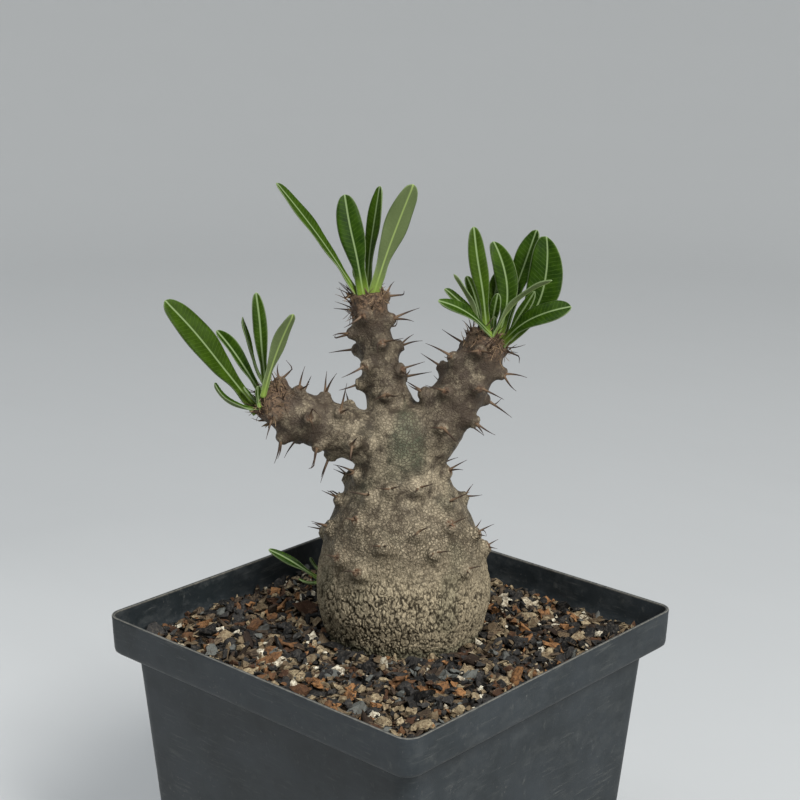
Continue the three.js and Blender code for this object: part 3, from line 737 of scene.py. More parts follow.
# %% Bark finish
def bark_finish():
    f = Finish("caudex_bark", IOR=1.45, Specular_IOR_Level=0.22)
    at = f.place()
    plated, crack, ribbed = f.read("plated"), f.read("crack"), f.read("ribbed")
    lump, scar, green, woody = f.read("lump"), f.read("scar"), f.read("green"), f.read("woody")
    wander = f.grain(at, 1.3, 3, out="Color")
    threads = f.cells(f.shift(f.place((1, 1, 0.45)), wander, 1.0), 0.78)
    fine = threads.step(0.13, 0.03)
    net = f.cells(f.shift(f.place((1, 1, 1.2)), wander, 0.9), 0.9).step(0.17, 0.04)
    grit = f.grain(at, 0.4, 4, 0.7)
    cloud = f.grain(f.shift(at, wander, 2.4), 3.4, 6, 0.68)
    folds = f.read("contour") * 7 + f.grain(at, 2.6, 3) * 11
    folds = f.add("Math", {"operation": "SINE"}, {0: folds}) * 0.5 + 0.5
    folds = folds.step(0.5, 1) * (1 - plated) * f.grain(at, 2.5, 2).step(0.36, 0.58) * (0.45 + lump * 0.55)
    hollow = f.colour(ribbed, (0.046, 0.035, 0.024), (0.165, 0.132, 0.090))
    smooth = f.colour(cloud.step(0.38, 0.62), hollow, (0.31, 0.26, 0.18))
    # Painted highlight: the mounds are painted paler.
    smooth = f.colour(lump.step(0.35, 0.95) * 0.5, smooth, (0.40, 0.335, 0.235))
    pale = f.grain(at, 2.4, 5, 0.7).step(0.56, 0.70)
    smooth = f.colour(pale * 0.5, smooth, (0.40, 0.345, 0.25))
    smooth = f.colour(folds * 0.62, smooth, (0.05, 0.038, 0.024))
    plates = f.colour(grit.step(0.25, 0.75), (0.27, 0.22, 0.14), (0.48, 0.41, 0.285))
    base = f.colour(plated, smooth, plates)
    rust = f.colour(f.grain(at, 0.9, 4, 0.7).step(0.35, 0.65), (0.020, 0.012, 0.008), (0.17, 0.105, 0.062))
    # Painted shade: the bark below each crown's leaves is painted darker.
    dusky = f.read("dusky") * (f.grain(at, 3.2, 4, 0.6).step(0.36, 0.54) * 0.6 + 0.4)
    freckle = f.grain(at, 0.6, 2).step(0.6, 0.7) * (1 - plated)
    base = f.coats(
        base,
        (green * 0.66, (0.066, 0.086, 0.052)),
        (net * (1 - plated) * (0.45 + ribbed * 0.3 + green * 0.25), (0.036, 0.029, 0.019)),
        (fine * (0.1 + ribbed * 0.65 - plated * 0.4), (0.045, 0.035, 0.02)),
        ((crack * (0.8 + grit * 0.4)).clamp() * 0.95, (0.018, 0.014, 0.008)),
        (dusky * 0.85, (0.050, 0.036, 0.026)),
        (woody * (0.55 + cloud * 0.5), rust),
        (scar.step(0.25, 0.8) * f.grain(at, 0.7, 4, 0.7).step(0.36, 0.6) * 0.9, (0.10, 0.042, 0.02)),
        (freckle * 0.55, (0.05, 0.036, 0.024)),
    )
    rough = 0.52 + plated * 0.26 + grit * 0.12
    relief = grit * 0.35 - fine * (0.15 + ribbed * 0.6 - plated * 0.4) - folds * 0.4 - net * (1 - plated) * 0.35
    relief = relief + pale * 0.25
    return f.set(Base_Color=base, Roughness=rough, Normal=f.bump(relief, 0.27, 0.9))


# %% [markdown]
# The green cast comes from three places: faint clouds over the trunk, a clear patch on one side just below the
# branches, and the rim of bark that the damp grit touches. Around each crown the bark is woody and red-brown,
# and for some way down each branch, below its leaves, it is painted darker as painted shade.

# %% Bark masks
GREEN_SIDE = math.radians(-42.53)  # which way round the trunk the clear green patch lies
SHADE_BELOW_CROWN_REACH = {"left": 27, "middle": 20, "right": 40}  # how far down each branch, below its leaves, its bark is painted darker as painted shade

faint = 0.45 * smoothstep(0.05, 0.5, clouds(skin, 9, 8)) * smoothstep(60, 44, rise)
patch = smoothstep(0.8, 1.0, np.cos(heading - GREEN_SIDE)) * smoothstep(42, 50, rise) * smoothstep(63, 57, rise)
damp = 0.9 * smoothstep(3.2, 0.4, rise + clouds(skin, 3, 6)) * (rise > -3)
green = np.maximum(np.maximum(faint, patch), damp)
ribbed = np.maximum(plated, 0.75 * smoothstep(42, 26, rise))
woody, dusky = np.zeros((2, len(skin)))
for branch, crown in crowns.items():
    far = np.linalg.norm(skin - crown, axis=1)
    woody = np.maximum(woody, smoothstep(10, 4, far + 2 * clouds(skin, 2.5, 15)))
    # Painted shade below each crown's leaves, reaching further down some branches than others.
    shaded_far = far + 3 * clouds(skin, 4, 16)
    dusky = np.maximum(dusky, smoothstep(SHADE_BELOW_CROWN_REACH[branch], 0.45 * SHADE_BELOW_CROWN_REACH[branch], shaded_far))
BARK_MASKS = {
    "plated": plated, "crack": crack, "lump": lump, "scar": scar, "green": green, "contour": contour,
    "ribbed": ribbed, "woody": woody, "dusky": dusky,
}
stem = piece("stem", skin, skin_faces, bark_finish(), "caudex_bark", ["caudex_and_branches"])
for name, values in BARK_MASKS.items():
    carry(stem, name, values)
print("stem masks:", list(BARK_MASKS))

# %% [markdown]
# ## Spines
# Each mound bears a pair of spines, hardened stipules that stay when the leaf drops. They are tan and thick at
# the foot, dark and needle-sharp at the tip, and many are bent or hooked. Straight cones would look like
# nails, so each spine is a little tube lofted along a bent line, and all of them share one mesh.

# %% Tubes
chance = np.random.default_rng(7)
SPINE_SIDES, SPINE_STEPS = 7, 8
HOOKED = 0.16  # the share of the spines that end in a hook
SPINE_TIP = 0.045  # the thinnest radius, in millimetres


def across_of(direction):
    """Two unit vectors square to a direction and to each other."""
    direction = direction / np.linalg.norm(direction)
    other = np.array([0, 0, 1.0]) if abs(direction[2]) < 0.9 else np.array([1.0, 0, 0])
    one = np.cross(direction, other)
    one /= np.linalg.norm(one)
    return one, np.cross(direction, one)


def tube(path, radii, sides, points, faces, marks, flat=1.0):
    """Adds a closed tube along a path to the lists, and marks its points from 0 at the foot to 1 at the tip.

    flat is how thick the tube is, as a share of how wide it is.
    """
    first = len(points)
    for at, (place, radius) in enumerate(zip(path, radii)):
        one, two = across_of(path[min(at + 1, len(path) - 1)] - path[max(at - 1, 0)])
        for side in range(sides):
            angle = side / sides * 2 * math.pi
            points.append(place + radius * (one * math.cos(angle) * flat + two * math.sin(angle)))
            marks.append(at / (len(path) - 1))
    faces += wrapped(len(path), sides, first)
    faces.append([first + side for side in range(sides)][::-1])
    faces.append([len(points) - sides + side for side in range(sides)])


print("a tube has", SPINE_SIDES, "sides and", SPINE_STEPS, "rings")


# %% Spine mesh
def bent_line(foot, tip, bend, hook):
    """A line from a foot towards a tip that bows to one side, and may turn sharply near its end."""
    along = tip - foot
    size = np.linalg.norm(along)
    one, two = across_of(along)
    angle = chance.uniform(0, 2 * math.pi)
    side = one * math.cos(angle) + two * math.sin(angle)
    line = []
    for at in np.linspace(0, 1, SPINE_STEPS):
        off = bend * size * math.sin(at * math.pi * 0.6)
        past = max(0.0, at - 0.62)
        line.append(foot + along * (at - past * hook) + side * (off + past * hook * size * 1.3))
    return line


points, faces, marks = [], [], []
for root, tip in spines:
    direction = (tip - root) / np.linalg.norm(tip - root)
    size = np.linalg.norm(tip - root) * chance.uniform(0.95, 1.35) + 0.8
    hook = chance.uniform(0.5, 1.0) if chance.random() < HOOKED else 0
    line = bent_line(root - direction * 0.5, root + direction * size, chance.uniform(-0.2, 0.2), hook)
    thick = 0.17 + 0.03 * size
    radii = []
    for at in np.linspace(0, 1, SPINE_STEPS):
        swollen_foot = 1 + 0.35 * math.exp(-at * 9)
        radii.append(max(SPINE_TIP, thick * (1 - at) ** 0.8 * swollen_foot))
    tube(line, radii, SPINE_SIDES, points, faces, marks)
print("spines:", len(spines), "longest, mm:", round(max(np.linalg.norm(t - r) for r, t in spines), 1))

# %% Spine finish
def spine_finish():
    f = Finish("spine_horn", IOR=1.5, Specular_IOR_Level=0.2)
    at = f.place()
    along, mottle = f.read("along_spine"), f.grain(at, 0.8, 4, 0.6)
    mark = (along + (mottle - 0.5) * 0.5).clamp()
    foot = f.colour(mottle, (0.075, 0.040, 0.022), (0.19, 0.135, 0.085))
    tip = f.colour(mottle, (0.012, 0.008, 0.006), (0.055, 0.032, 0.022))
    base = f.colour(mark.step(0.1, 0.6), foot, tip)
    lines = f.grain(f.place((3, 3, 0.6)), 0.5, 3)
    return f.set(Base_Color=base, Roughness=0.38 + mottle * 0.25, Normal=f.bump(lines, 0.06, 0.6))


thorns = piece("spines", points, faces, spine_finish(), "caudex_bark", crease=60)
carry(thorns, "along_spine", marks)
print("spine points:", len(points))

# %% [markdown]
# ## Crowns
# Around the leaf bases each branch ends in a brown, woolly crown: papery scales left by old leaves, thin young
# spines and curled fibres. They are far too small to place one by one, so they are sown on the skin near each
# crown: a scale is a flattened tube that leans outward, and a fibre is a thin one that creeps along the bark.

# %% Crown mesh
CROWN_REACH = 7.6  # millimetres
SOWN = ["scale"] * 70 + ["spine"] * 42 + ["fibre"] * 150  # what is sown round each crown
CROWN_SHADE = {"scale": 0.75, "spine": 0.3, "fibre": 1.3}  # how pale the palest of each kind is
SCALE_WIDTHS = (0.8, 1.0, 0.9, 0.65, 0.35, 0.06)
THORN_RADII = [0.16 * width for width in (1.4, 1.1, 0.9, 0.7, 0.45, 0.15)]
FIBRE_RADII = [0.075] * 6 + [0.03]


def bowed(foot, direction, size, droop, steps=6):
    """A short path that starts in one direction and bows over sideways."""
    one, two = across_of(direction)
    angle = chance.uniform(0, 2 * math.pi)
    side = (one * math.cos(angle) + two * math.sin(angle)) * droop
    return [foot + direction * size * at + side * size * at * at for at in np.linspace(0, 1, steps)]


skin_normals = normals_of(skin, skin_faces)
points, faces, marks, shades = [], [], [], []
for branch, crown in crowns.items():
    far = np.linalg.norm(skin - crown, axis=1)
    near = np.flatnonzero(far < CROWN_REACH)
    axis_out = unit(crown - skin[near].mean(0))
    for kind in SOWN:
        at = near[chance.integers(len(near))]
        if chance.random() > 1.15 - far[at] / CROWN_REACH:
            continue
        foot, normal = skin[at], skin_normals[at]
        lean = unit(normal * 0.75 + axis_out * chance.uniform(0.3, 1.1) + chance.normal(0, 0.25, 3))
        first = len(points)
        if kind == "scale":
            size = chance.uniform(1.2, 2.9)
            path = bowed(foot - lean * 0.4, lean, size, chance.uniform(-0.5, 0.5))
            wide = size * chance.uniform(0.16, 0.3)
            tube(path, [wide * width for width in SCALE_WIDTHS], 6, points, faces, marks, flat=0.22)
        elif kind == "spine":
            size = chance.uniform(2.2, 5.4)
            path = bowed(foot - lean * 0.4, lean, size, chance.uniform(-0.35, 0.35))
            tube(path, THORN_RADII, 5, points, faces, marks)
        else:
            creep = unit(np.cross(normal, chance.normal(size=3)) + normal * 0.35)
            path = bowed(foot, creep, chance.uniform(1.5, 3.6), chance.uniform(-0.7, 0.7), len(FIBRE_RADII))
            tube(path, FIBRE_RADII, 4, points, faces, marks)
        shade = CROWN_SHADE[kind] * chance.random()
        shades += [shade] * (len(points) - first)
print("crown points:", len(points))

# %% Crown finish
def scale_finish():
    f = Finish("crown_scales", Specular_IOR_Level=0.2)
    at = f.place()
    along, shade = f.read("along_scale"), f.read("shade")
    lines = f.grain(f.place((2.5, 2.5, 0.8)), 0.5, 4, 0.65)
    base = f.colour(shade.clamp(), (0.020, 0.011, 0.008), (0.29, 0.20, 0.115))
    base = f.colour(lines.step(0.4, 0.65) * 0.6, base, (0.035, 0.018, 0.011))
    base = f.colour(along.step(0.6, 1) * shade.clamp() * 0.6, base, (0.36, 0.26, 0.16))
    return f.set(Base_Color=base, Roughness=0.65 + lines * 0.25, Normal=f.bump(lines, 0.08, 0.7))


wool = piece("crown_scales", points, faces, scale_finish(), "caudex_bark", crease=50)
carry(wool, "along_scale", marks)
carry(wool, "shade", shades)

# %% [markdown]
# ## Leaves
# The leaves are leathery straps in tufts at the ends of the branches: deep green above, with a pale sunk
# midrib, close side veins that quilt the blade, pale downy margins that roll under, and a grey-green felted
# back. A packed leaf is only ten rings of four points. Here those rings are read in order, joined by smooth
# curves, and each cross-section is drawn again as a thin curved blade.

# %% Read a packed leaf
def leaf_rings(name):
    """The packed leaf's foot, its rings as (left, under, right, over), and its tip."""
    points, faces = node_mesh(name)
    links = neighbours(points, faces)
    ends = [i for i, near in enumerate(links) if len(near) == 4]
    ends.sort(key=lambda i: np.linalg.norm(skin - points[i], axis=1).min())
    foot, tip = ends[0], ends[-1]
    layers, seen = [[foot]], {foot}
    while len(seen) < len(points):
        layer = sorted({near for at in layers[-1] for near in links[at]} - seen)
        seen.update(layer)
        layers.append(layer)
    rings = []
    for layer in layers[1:-1]:
        first = layer[0]
        opposite = next(at for at in layer[1:] if at not in links[first])
        pairs = [(first, opposite), tuple(at for at in layer[1:] if at != opposite)]
        rings.append([points[list(pair)] for pair in pairs])
    wide = len(rings) // 2
    rings[wide].sort(key=lambda pair: -np.linalg.norm(pair[1] - pair[0]))
    for order in (range(wide + 1, len(rings)), range(wide - 1, -1, -1)):
        for at in order:
            before = rings[at - 1] if at > wide else rings[at + 1]
            across = before[0][1] - before[0][0]
            likeness = [abs(np.dot(unit(pair[1] - pair[0]), unit(across))) for pair in rings[at]]
            if likeness[0] < likeness[1]:
                rings[at].reverse()
            if np.dot(rings[at][0][1] - rings[at][0][0], across) < 0:
                rings[at][0] = rings[at][0][::-1]
    raised = sum((edges.mean(0) - middle.mean(0)) for edges, middle in rings)
    for at, (edges, middle) in enumerate(rings):
        if np.dot(middle[1] - middle[0], raised) < 0:
            rings[at][1] = middle[::-1]
    return points[foot], rings, points[tip]


leaf_names = sorted(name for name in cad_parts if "leaf" in name or "flank" in name)
rings = leaf_rings(leaf_names[0])[1]
print(len(leaf_names), "leaves;", leaf_names[0], "has", len(rings), "rings")


# %% Smooth curve
def curve_through(values, at):
    """A smooth curve through evenly numbered values, read at one place along it."""
    last = len(values) - 1
    i = min(int(at), last - 1)
    t = at - i
    a, b = values[i], values[i + 1]
    before = values[i - 1] if i > 0 else 2 * a - b
    after = values[i + 2] if i + 2 <= last else 2 * b - a
    m, n = (b - before) / 2, (after - a) / 2
    from_a = (2 * t**3 - 3 * t**2 + 1) * a + (t**3 - 2 * t**2 + t) * m
    return from_a + (3 * t**2 - 2 * t**3) * b + (t**3 - t**2) * n


print("halfway between 1 and 2:", curve_through([0.0, 1.0, 2.0, 3.0], 1.5))

# %% [markdown]
# Each blade gets its own small accidents: how much its margins wave, where its shading lies and how it
# quilts. They are drawn from one seeded chance per leaf, so the plant is the same each time it is grown.

# %% Blade
BLADE_STEPS, BLADE_ACROSS = 52, 13
FOOT_SUNK = 1.1  # how far the foot of a leaf is pushed into its crown
FOOT_RINGS, FOOT_WIDEST = 6, 1.7  # the rings that are kept broad near the foot, and how broad at the most
VEIN_SPACING = 1.05
RIB_WIDTH = 0.36


def broadened(halves):
    """Keeps the first rings of a leaf from being much narrower than half its widest ring."""
    widths = np.linalg.norm(halves, axis=1)
    near_foot = np.arange(len(halves)) < FOOT_RINGS
    least = np.minimum(0.50 * widths.max(), FOOT_WIDEST) * near_foot
    least = np.maximum(least, 0.6 * near_foot)
    return halves * (np.maximum(widths, least) / np.maximum(widths, 0.05))[:, None]


def blade(name, index):
    """One leaf's points, faces and marks, from its packed rings."""
    own = np.random.default_rng(100 + index)
    foot, rings, tip = leaf_rings(name)
    foot = foot - unit(rings[0][1].mean(0) - foot) * FOOT_SUNK
    middles = np.array([foot] + [middle.mean(0) for _, middle in rings] + [tip])
    halves = [(edges[1] - edges[0]) / 2 for edges, _ in rings]
    halves = broadened(np.array([halves[0] * 0.95] + halves + [halves[-1] * 0.02]))
    uppers = [unit(middle[1] - middle[0]) for _, middle in rings]
    uppers = np.array([uppers[0]] + uppers + [uppers[-1]])
    folds = [np.dot(edges.mean(0) - middle.mean(0), unit(middle[1] - middle[0])) for edges, middle in rings]
    folds = np.array([folds[0]] + folds + [0])
    run = np.concatenate([[0], np.cumsum(np.linalg.norm(np.diff(middles, axis=0), axis=1))])
    length = run[-1]
    wave, phase = own.uniform(0.1, 0.32), own.uniform(0, 6)
    sway, shade = own.uniform(-0.25, 0.25), own.uniform(0, 1)
    points, marks = [], []
    for step in range(BLADE_STEPS):
        share = 1 - (1 - step / (BLADE_STEPS - 1)) ** 1.25
        at = np.interp(share * length, run, np.arange(len(run)))
        middle, half = curve_through(middles, at), curve_through(halves, at)
        upper, fold = unit(curve_through(uppers, at)), curve_through(folds, at)
        wide = max(np.linalg.norm(half), 0.05)
        side = unit(half)
        upper = unit(upper - side * np.dot(upper, side))
        middle = middle + side * sway * wide * math.sin(share * math.pi * 2) * 0.4
        plump = 0.20 * min(1, wide / 1.2) + 0.35 * math.exp(-share * 14)
        for over in (1, -1):
            spread = np.linspace(-1, 1, BLADE_ACROSS)
            for v in spread if over > 0 else spread[-2:0:-1]:
                v = math.copysign(abs(v) ** 0.85, v)
                far = abs(v) * wide
                open_blade = smoothstep(0.04, 0.2, share) * (1 - smoothstep(0.93, 1, share))
                lift = fold * abs(v) ** 1.25 - 0.22 * smoothstep(0.8, 1, abs(v)) * open_blade
                lift += wave * v * abs(v) * math.sin(share * length * 0.55 + phase + v) * open_blade
                vein = (share * length) / VEIN_SPACING - far * 0.5
                quilt = 0.04 * math.cos(vein * 2 * math.pi) * smoothstep(0.25, 0.8, far) * (1 - abs(v) ** 6)
                body = plump * math.sqrt(max(0.0, 1 - v**4)) + 0.03
                rib = math.exp(-((far / RIB_WIDTH) ** 2)) * open_blade
                if over > 0:
                    lift += body - 0.16 * rib + quilt * open_blade
                else:
                    lift += -body - 0.24 * rib + 0.6 * quilt * open_blade
                points.append(middle + side * v * wide + upper * lift)
                margin = (1 - abs(v)) * wide
                marks.append((far, margin, share, over, vein, shade))
    ring = 2 * BLADE_ACROSS - 2
    faces = wrapped(BLADE_STEPS, ring, inward=True)
    faces.append(list(range(ring)))
    faces.append([len(points) - ring + at for at in range(ring)][::-1])
    return np.array(points), faces, np.array(marks), length


points, _, _, length = blade(leaf_names[0], 0)
print(leaf_names[0], "has", len(points), "points and is", round(length, 1), "mm long")

# %% [markdown]
# ### Leaf surface
# A leaf is coloured by where a point is on the blade, so the finish reads how far it is from the midrib and
# from the margin, in millimetres, and which side vein it is on. The upper side has a waxy shine that the side
# veins break up, and the back is matt and paler.

# %% Leaf finish
def leaf_finish():
    f = Finish("leaf_blade", IOR=1.42, Specular_IOR_Level=0.1)
    at = f.place()
    far, margin, share = f.read("from_midrib"), f.read("from_margin"), f.read("along_leaf")
    over, shade = f.read("upper_side").step(-0.2, 0.2), f.read("shade")
    wobble = f.grain(at, 1.1, 2) * 0.35
    vein = f.add("Math", {"operation": "FRACT"}, {0: f.read("side_vein") + wobble})
    vein = abs(vein - 0.5).step(0.10, 0.02) * far.step(0.2, 0.5)
    rib = far.step(0.30, 0.10)
    edge = (margin + f.grain(at, 0.5, 2) * 0.12).step(0.34, 0.16)
    cloud = f.grain(at, 3.5, 4, 0.6)
    upper = f.colour(cloud.step(0.3, 0.7), (0.007, 0.022, 0.001), (0.021, 0.050, 0.002))
    upper = f.coats(
        upper,
        (shade * 0.28, (0.050, 0.088, 0.002)),
        (vein * 0.24, (0.085, 0.15, 0.02)),
        (rib * 0.72, (0.21, 0.28, 0.13)),
    )
    felt = f.grain(at, 0.25, 3, 0.7)
    under = f.colour(felt, (0.065, 0.092, 0.030), (0.140, 0.180, 0.078))
    under = f.coats(under, (vein * 0.4, (0.09, 0.13, 0.05)), (rib * 0.8, (0.26, 0.34, 0.11)))
    young = (share + cloud * 0.08).step(0.30, 0.04)
    base = f.coats(under, (over, upper), (young * 0.7, (0.17, 0.26, 0.035)), (edge * 0.5, (0.27, 0.34, 0.18)))
    rough = 0.62 - over * 0.22 + cloud * 0.1 + edge * 0.15
    relief = vein * -0.5 + cloud * 0.3 + felt * 0.15
    return f.set(Base_Color=base, Roughness=rough, Normal=f.bump(relief, 0.09, 0.6))


LEAF_MARKS = ("from_midrib", "from_margin", "along_leaf", "upper_side", "side_vein", "shade")
leaf_surface = leaf_finish()
for index, name in enumerate(leaf_names):
    points, faces, marks, _ = blade(name, index)
    grown_name = name.replace("leaf", "blade").replace("scale", "bract")
    grown = piece(grown_name, points, faces, leaf_surface, "leaf", [name])
    for column, mark in enumerate(LEAF_MARKS):
        carry(grown, mark, marks[:, column])
print("leaves grown:", len(leaf_names))

# %% [markdown]
# ## Grit
# The plant grows in sharp, free-draining grit: cream and tan pumice, orange-brown fired clay, black lava, and
# chips of dark bark, from dust up to about six millimetres. A physics drop of thousands of grains would be
# slow, so each grain falls onto a map of heights instead: of a few places tried, it takes the lowest, rests on
# what is there, and raises the map under it.

# %% Grain shapes
def faceted(seed, level, cuts, rough):
    """A broken grain about 1 across: a ball with flats cut off it, and a little roughness."""
    own = np.random.default_rng(seed)
    bm = bmesh.new()
    bmesh.ops.create_icosphere(bm, subdivisions=level, radius=0.5)
    points, faces = closed(bm)
    for _ in range(cuts):
        flat = unit(own.normal(size=3))
        depth = own.uniform(0.14, 0.38)
        points -= np.maximum(points @ flat - depth, 0)[:, None] * flat
    bumps = [noise.noise(Vector(p) * 3.1 + Vector((seed, 0, 0))) for p in points]
    bumps = np.array(bumps) + 0.5 * np.array([noise.noise(Vector(p) * 7.3 + Vector((0, seed, 0))) for p in points])
    points *= 1 + rough * bumps[:, None]
    return points, faces


def loose_turn(own, tilt):
    """A random heading, with only a limited tilt, for a grain that lies on its flattest side."""
    heading = Matrix.Rotation(own.uniform(0, 2 * math.pi), 3, "Z")
    lean = Matrix.Rotation(own.normal(0, tilt), 3, "X") @ Matrix.Rotation(own.normal(0, tilt), 3, "Y")
    return np.array(lean @ heading)


# Each kind: its share of the grains, its proportions, cuts, roughness, and a slot.
GRAIN_KINDS = {
    "pumice_grit": (0.29, (1.45, 1.1, 0.75), 10, 0.8, "pumice"),
    "clay_grit": (0.11, (1.4, 1.1, 0.8), 8, 1.0, "fired_clay"),
    "lava_grit": (0.38, (1.5, 1.1, 0.75), 10, 0.7, "lava"),
    "bark_grit": (0.22, (2.1, 0.95, 0.5), 10, 0.4, "bark_chip"),
}
small = {kind: [faceted(seed, 1, g[2], g[3]) for seed in range(9)] for kind, g in GRAIN_KINDS.items()}
large = {kind: [faceted(seed, 2, g[2], g[3]) for seed in range(20, 32)] for kind, g in GRAIN_KINDS.items()}
print("grain shapes:", sum(len(shapes) for shapes in small.values()) * 2)

# %% Map of heights
CELL = 0.25  # millimetres between the points of the height map
BED = 85.9  # the lowest level of the loose grit
MAP_REACH = 52  # millimetres from the middle of the pot to the edge of the map
WALL_CORNER = 3.0  # how round the inner wall's corners are
TRIES = 4  # the places that each grain tries
# The smallest and the largest size of the grains that fall together, and how many there are.
FALLS = [(3.4, 5.6, 330), (2.3, 3.5, 760), (1.4, 2.4, 1500), (0.7, 1.4, 1000)]
half_map = int(MAP_REACH / CELL)
heights = np.full((2 * half_map, 2 * half_map), BED)
grid = (np.arange(2 * half_map) - half_map + 0.5) * CELL
map_x, map_y = np.meshgrid(grid, grid, indexing="ij")
trunk_foot = skin[abs(skin[:, 2] - GRIT_TOP) < 1.2][:, :2]
trunk_middle = trunk_foot.mean(0)
trunk_radius = np.linalg.norm(trunk_foot - trunk_middle, axis=1).mean()
INSIDE = band_foot - WALL - 0.3


def wall_gap(x, y):
    """How far a place is from the pot's inner wall."""
    over_x, over_y = max(abs(x) - INSIDE + WALL_CORNER, 0), max(abs(y) - INSIDE + WALL_CORNER, 0)
    if over_x > 0 and over_y > 0:
        return WALL_CORNER - math.hypot(over_x, over_y)
    return INSIDE - max(abs(x), abs(y))


def stamp(x, y, reach):
    """The part of the height map within reach of a place, and how far each of its points is, from 0 to 1."""
    low_x, high_x = int((x - reach) / CELL) + half_map, int((x + reach) / CELL) + half_map + 1
    low_y, high_y = int((y - reach) / CELL) + half_map, int((y + reach) / CELL) + half_map + 1
    patch = (slice(low_x, high_x), slice(low_y, high_y))
    far = np.hypot(map_x[patch] - x, map_y[patch] - y) / reach
    return patch, far


def settle(own, size, tries):
    """Finds a low place for a grain, and returns where its middle comes to rest."""
    best = None
    reach = size * 0.5
    while tries:
        x, y = own.uniform(-INSIDE, INSIDE, 2)
        if wall_gap(x, y) < reach * 0.8:
            continue
        if math.hypot(x - trunk_middle[0], y - trunk_middle[1]) < trunk_radius + reach * 0.55:
            continue
        tries -= 1
        patch, far = stamp(x, y, reach)
        under = heights[patch][far < 1]
        level = np.quantile(under, 0.6) if len(under) else heights[patch].max()
        if best is None or level < best[2]:
            best = (x, y, level)
    return best


print("map:", heights.shape, "inner wall, mm:", round(INSIDE, 1))

# %% Let the grains fall
named_stones = sorted(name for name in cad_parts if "_stone_" in name)
for name in named_stones:
    low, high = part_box(name)
    middle = (low + high) / 2 / MM
    patch, far = stamp(middle.x, middle.y, (high - low).to_2d().length / MM * 0.33)
    heights[patch] = np.where(far < 1, np.maximum(heights[patch], middle.z), heights[patch])

grains = {kind: [] for kind in GRAIN_KINDS}
shares = np.array([g[0] for g in GRAIN_KINDS.values()])
sizes = np.concatenate([chance.uniform(*fall) for fall in FALLS])
for size in sizes:
    kind = list(GRAIN_KINDS)[chance.choice(len(shares), p=shares / shares.sum())]
    x, y, level = settle(chance, size, TRIES)
    tall = size * GRAIN_KINDS[kind][1][2]
    patch, far = stamp(x, y, size * 0.5)
    dome = level - 0.1 * tall + 0.75 * tall * np.sqrt(np.clip(1 - far**2, 0, 1))
    heights[patch] = np.where(far < 1, np.maximum(heights[patch], dome), heights[patch])
    grains[kind].append((x, y, level + 0.22 * tall, size))
print("grains:", {kind: len(found) for kind, found in grains.items()})
inside = np.hypot(map_x - trunk_middle[0], map_y - trunk_middle[1]) > trunk_radius
inside &= np.maximum(abs(map_x), abs(map_y)) < INSIDE - 1
print("grit surface, mm: mean", heights[inside].mean().round(2), "highest", heights[inside].max().round(2))

# %% [markdown]
# ### Grain finishes
# Every grain carries its own number, which shifts its colour within its kind, and its own coordinates, so
# that pores and grain lines turn with it. One finish then serves thousands of grains without repeating.

# %% Grit finishes
def grain_start(name):
    """A dull finish, a grain's own coordinates, and its own number."""
    f = Finish(name, Specular_IOR_Level=0.15)
    return f, f.read("own", out="Vector"), f.read("tint")


def pumice_finish():
    f, own, tint = grain_start("pumice")
    pores = f.cells(own, 0.45, "F1").step(0.16, 0.34)
    cloud = f.grain(own, 0.9, 5, 0.65)
    tan = f.colour(tint.step(0.1, 0.6), (0.095, 0.072, 0.045), (0.31, 0.25, 0.155))
    base = f.coats(
        tan,
        (tint.step(0.80, 0.94), (0.62, 0.58, 0.46)),
        (cloud.step(0.36, 0.62) * 0.8, (0.10, 0.068, 0.040)),
        ((1 - pores) * 0.75, (0.045, 0.034, 0.024)),
    )
    relief = pores * 0.7 + f.grain(own, 0.22, 3) * 0.5
    return f.set(Base_Color=base, Roughness=0.8 + cloud * 0.15, Normal=f.bump(relief, 0.2, 0.9))


def clay_finish():
    f, own, tint = grain_start("fired_clay")
    cloud = f.grain(own, 0.8, 5, 0.62)
    base = f.colour(tint.step(0.2, 0.95), (0.055, 0.028, 0.016), (0.27, 0.135, 0.055))
    base = f.colour(cloud.step(0.40, 0.66) * 0.8, base, (0.042, 0.023, 0.015))
    base = f.colour(f.grain(own, 0.3, 2).step(0.62, 0.72) * 0.5, base, (0.36, 0.25, 0.14))
    relief = cloud + f.grain(own, 0.2, 3) * 0.6
    return f.set(Base_Color=base, Roughness=0.72 + cloud * 0.2, Normal=f.bump(relief, 0.22, 0.85))


def lava_finish():
    f, own, tint = grain_start("lava")
    pores = f.cells(own, 0.38, "F1").step(0.12, 0.3)
    cloud = f.grain(own, 0.7, 5, 0.6)
    base = f.colour(tint, (0.006, 0.006, 0.006), (0.028, 0.027, 0.026))
    base = f.colour(tint.step(0.88, 0.96), base, (0.095, 0.10, 0.092))
    base = f.colour(cloud.step(0.48, 0.68) * 0.6, base, (0.075, 0.066, 0.055))
    relief = pores + cloud * 0.5
    return f.set(Base_Color=base, Roughness=0.55 + cloud * 0.3, Normal=f.bump(relief, 0.22, 0.9))


def bark_chip_finish():
    f, own, tint = grain_start("bark_chip")
    fibre = f.add("Mapping", None, {"Vector": own, "Scale": (0.35, 2.2, 2.2)})
    lines = f.grain(fibre, 0.7, 5, 0.6)
    base = f.colour(tint, (0.026, 0.018, 0.013), (0.135, 0.100, 0.064))
    base = f.colour(lines.step(0.38, 0.6) * 0.85, base, (0.020, 0.013, 0.010))
    base = f.colour(f.grain(own, 1.2, 3).step(0.6, 0.75) * 0.5, base, (0.26, 0.19, 0.12))
    return f.set(Base_Color=base, Roughness=0.7 + lines * 0.2, Normal=f.bump(lines, 0.3, 0.9))


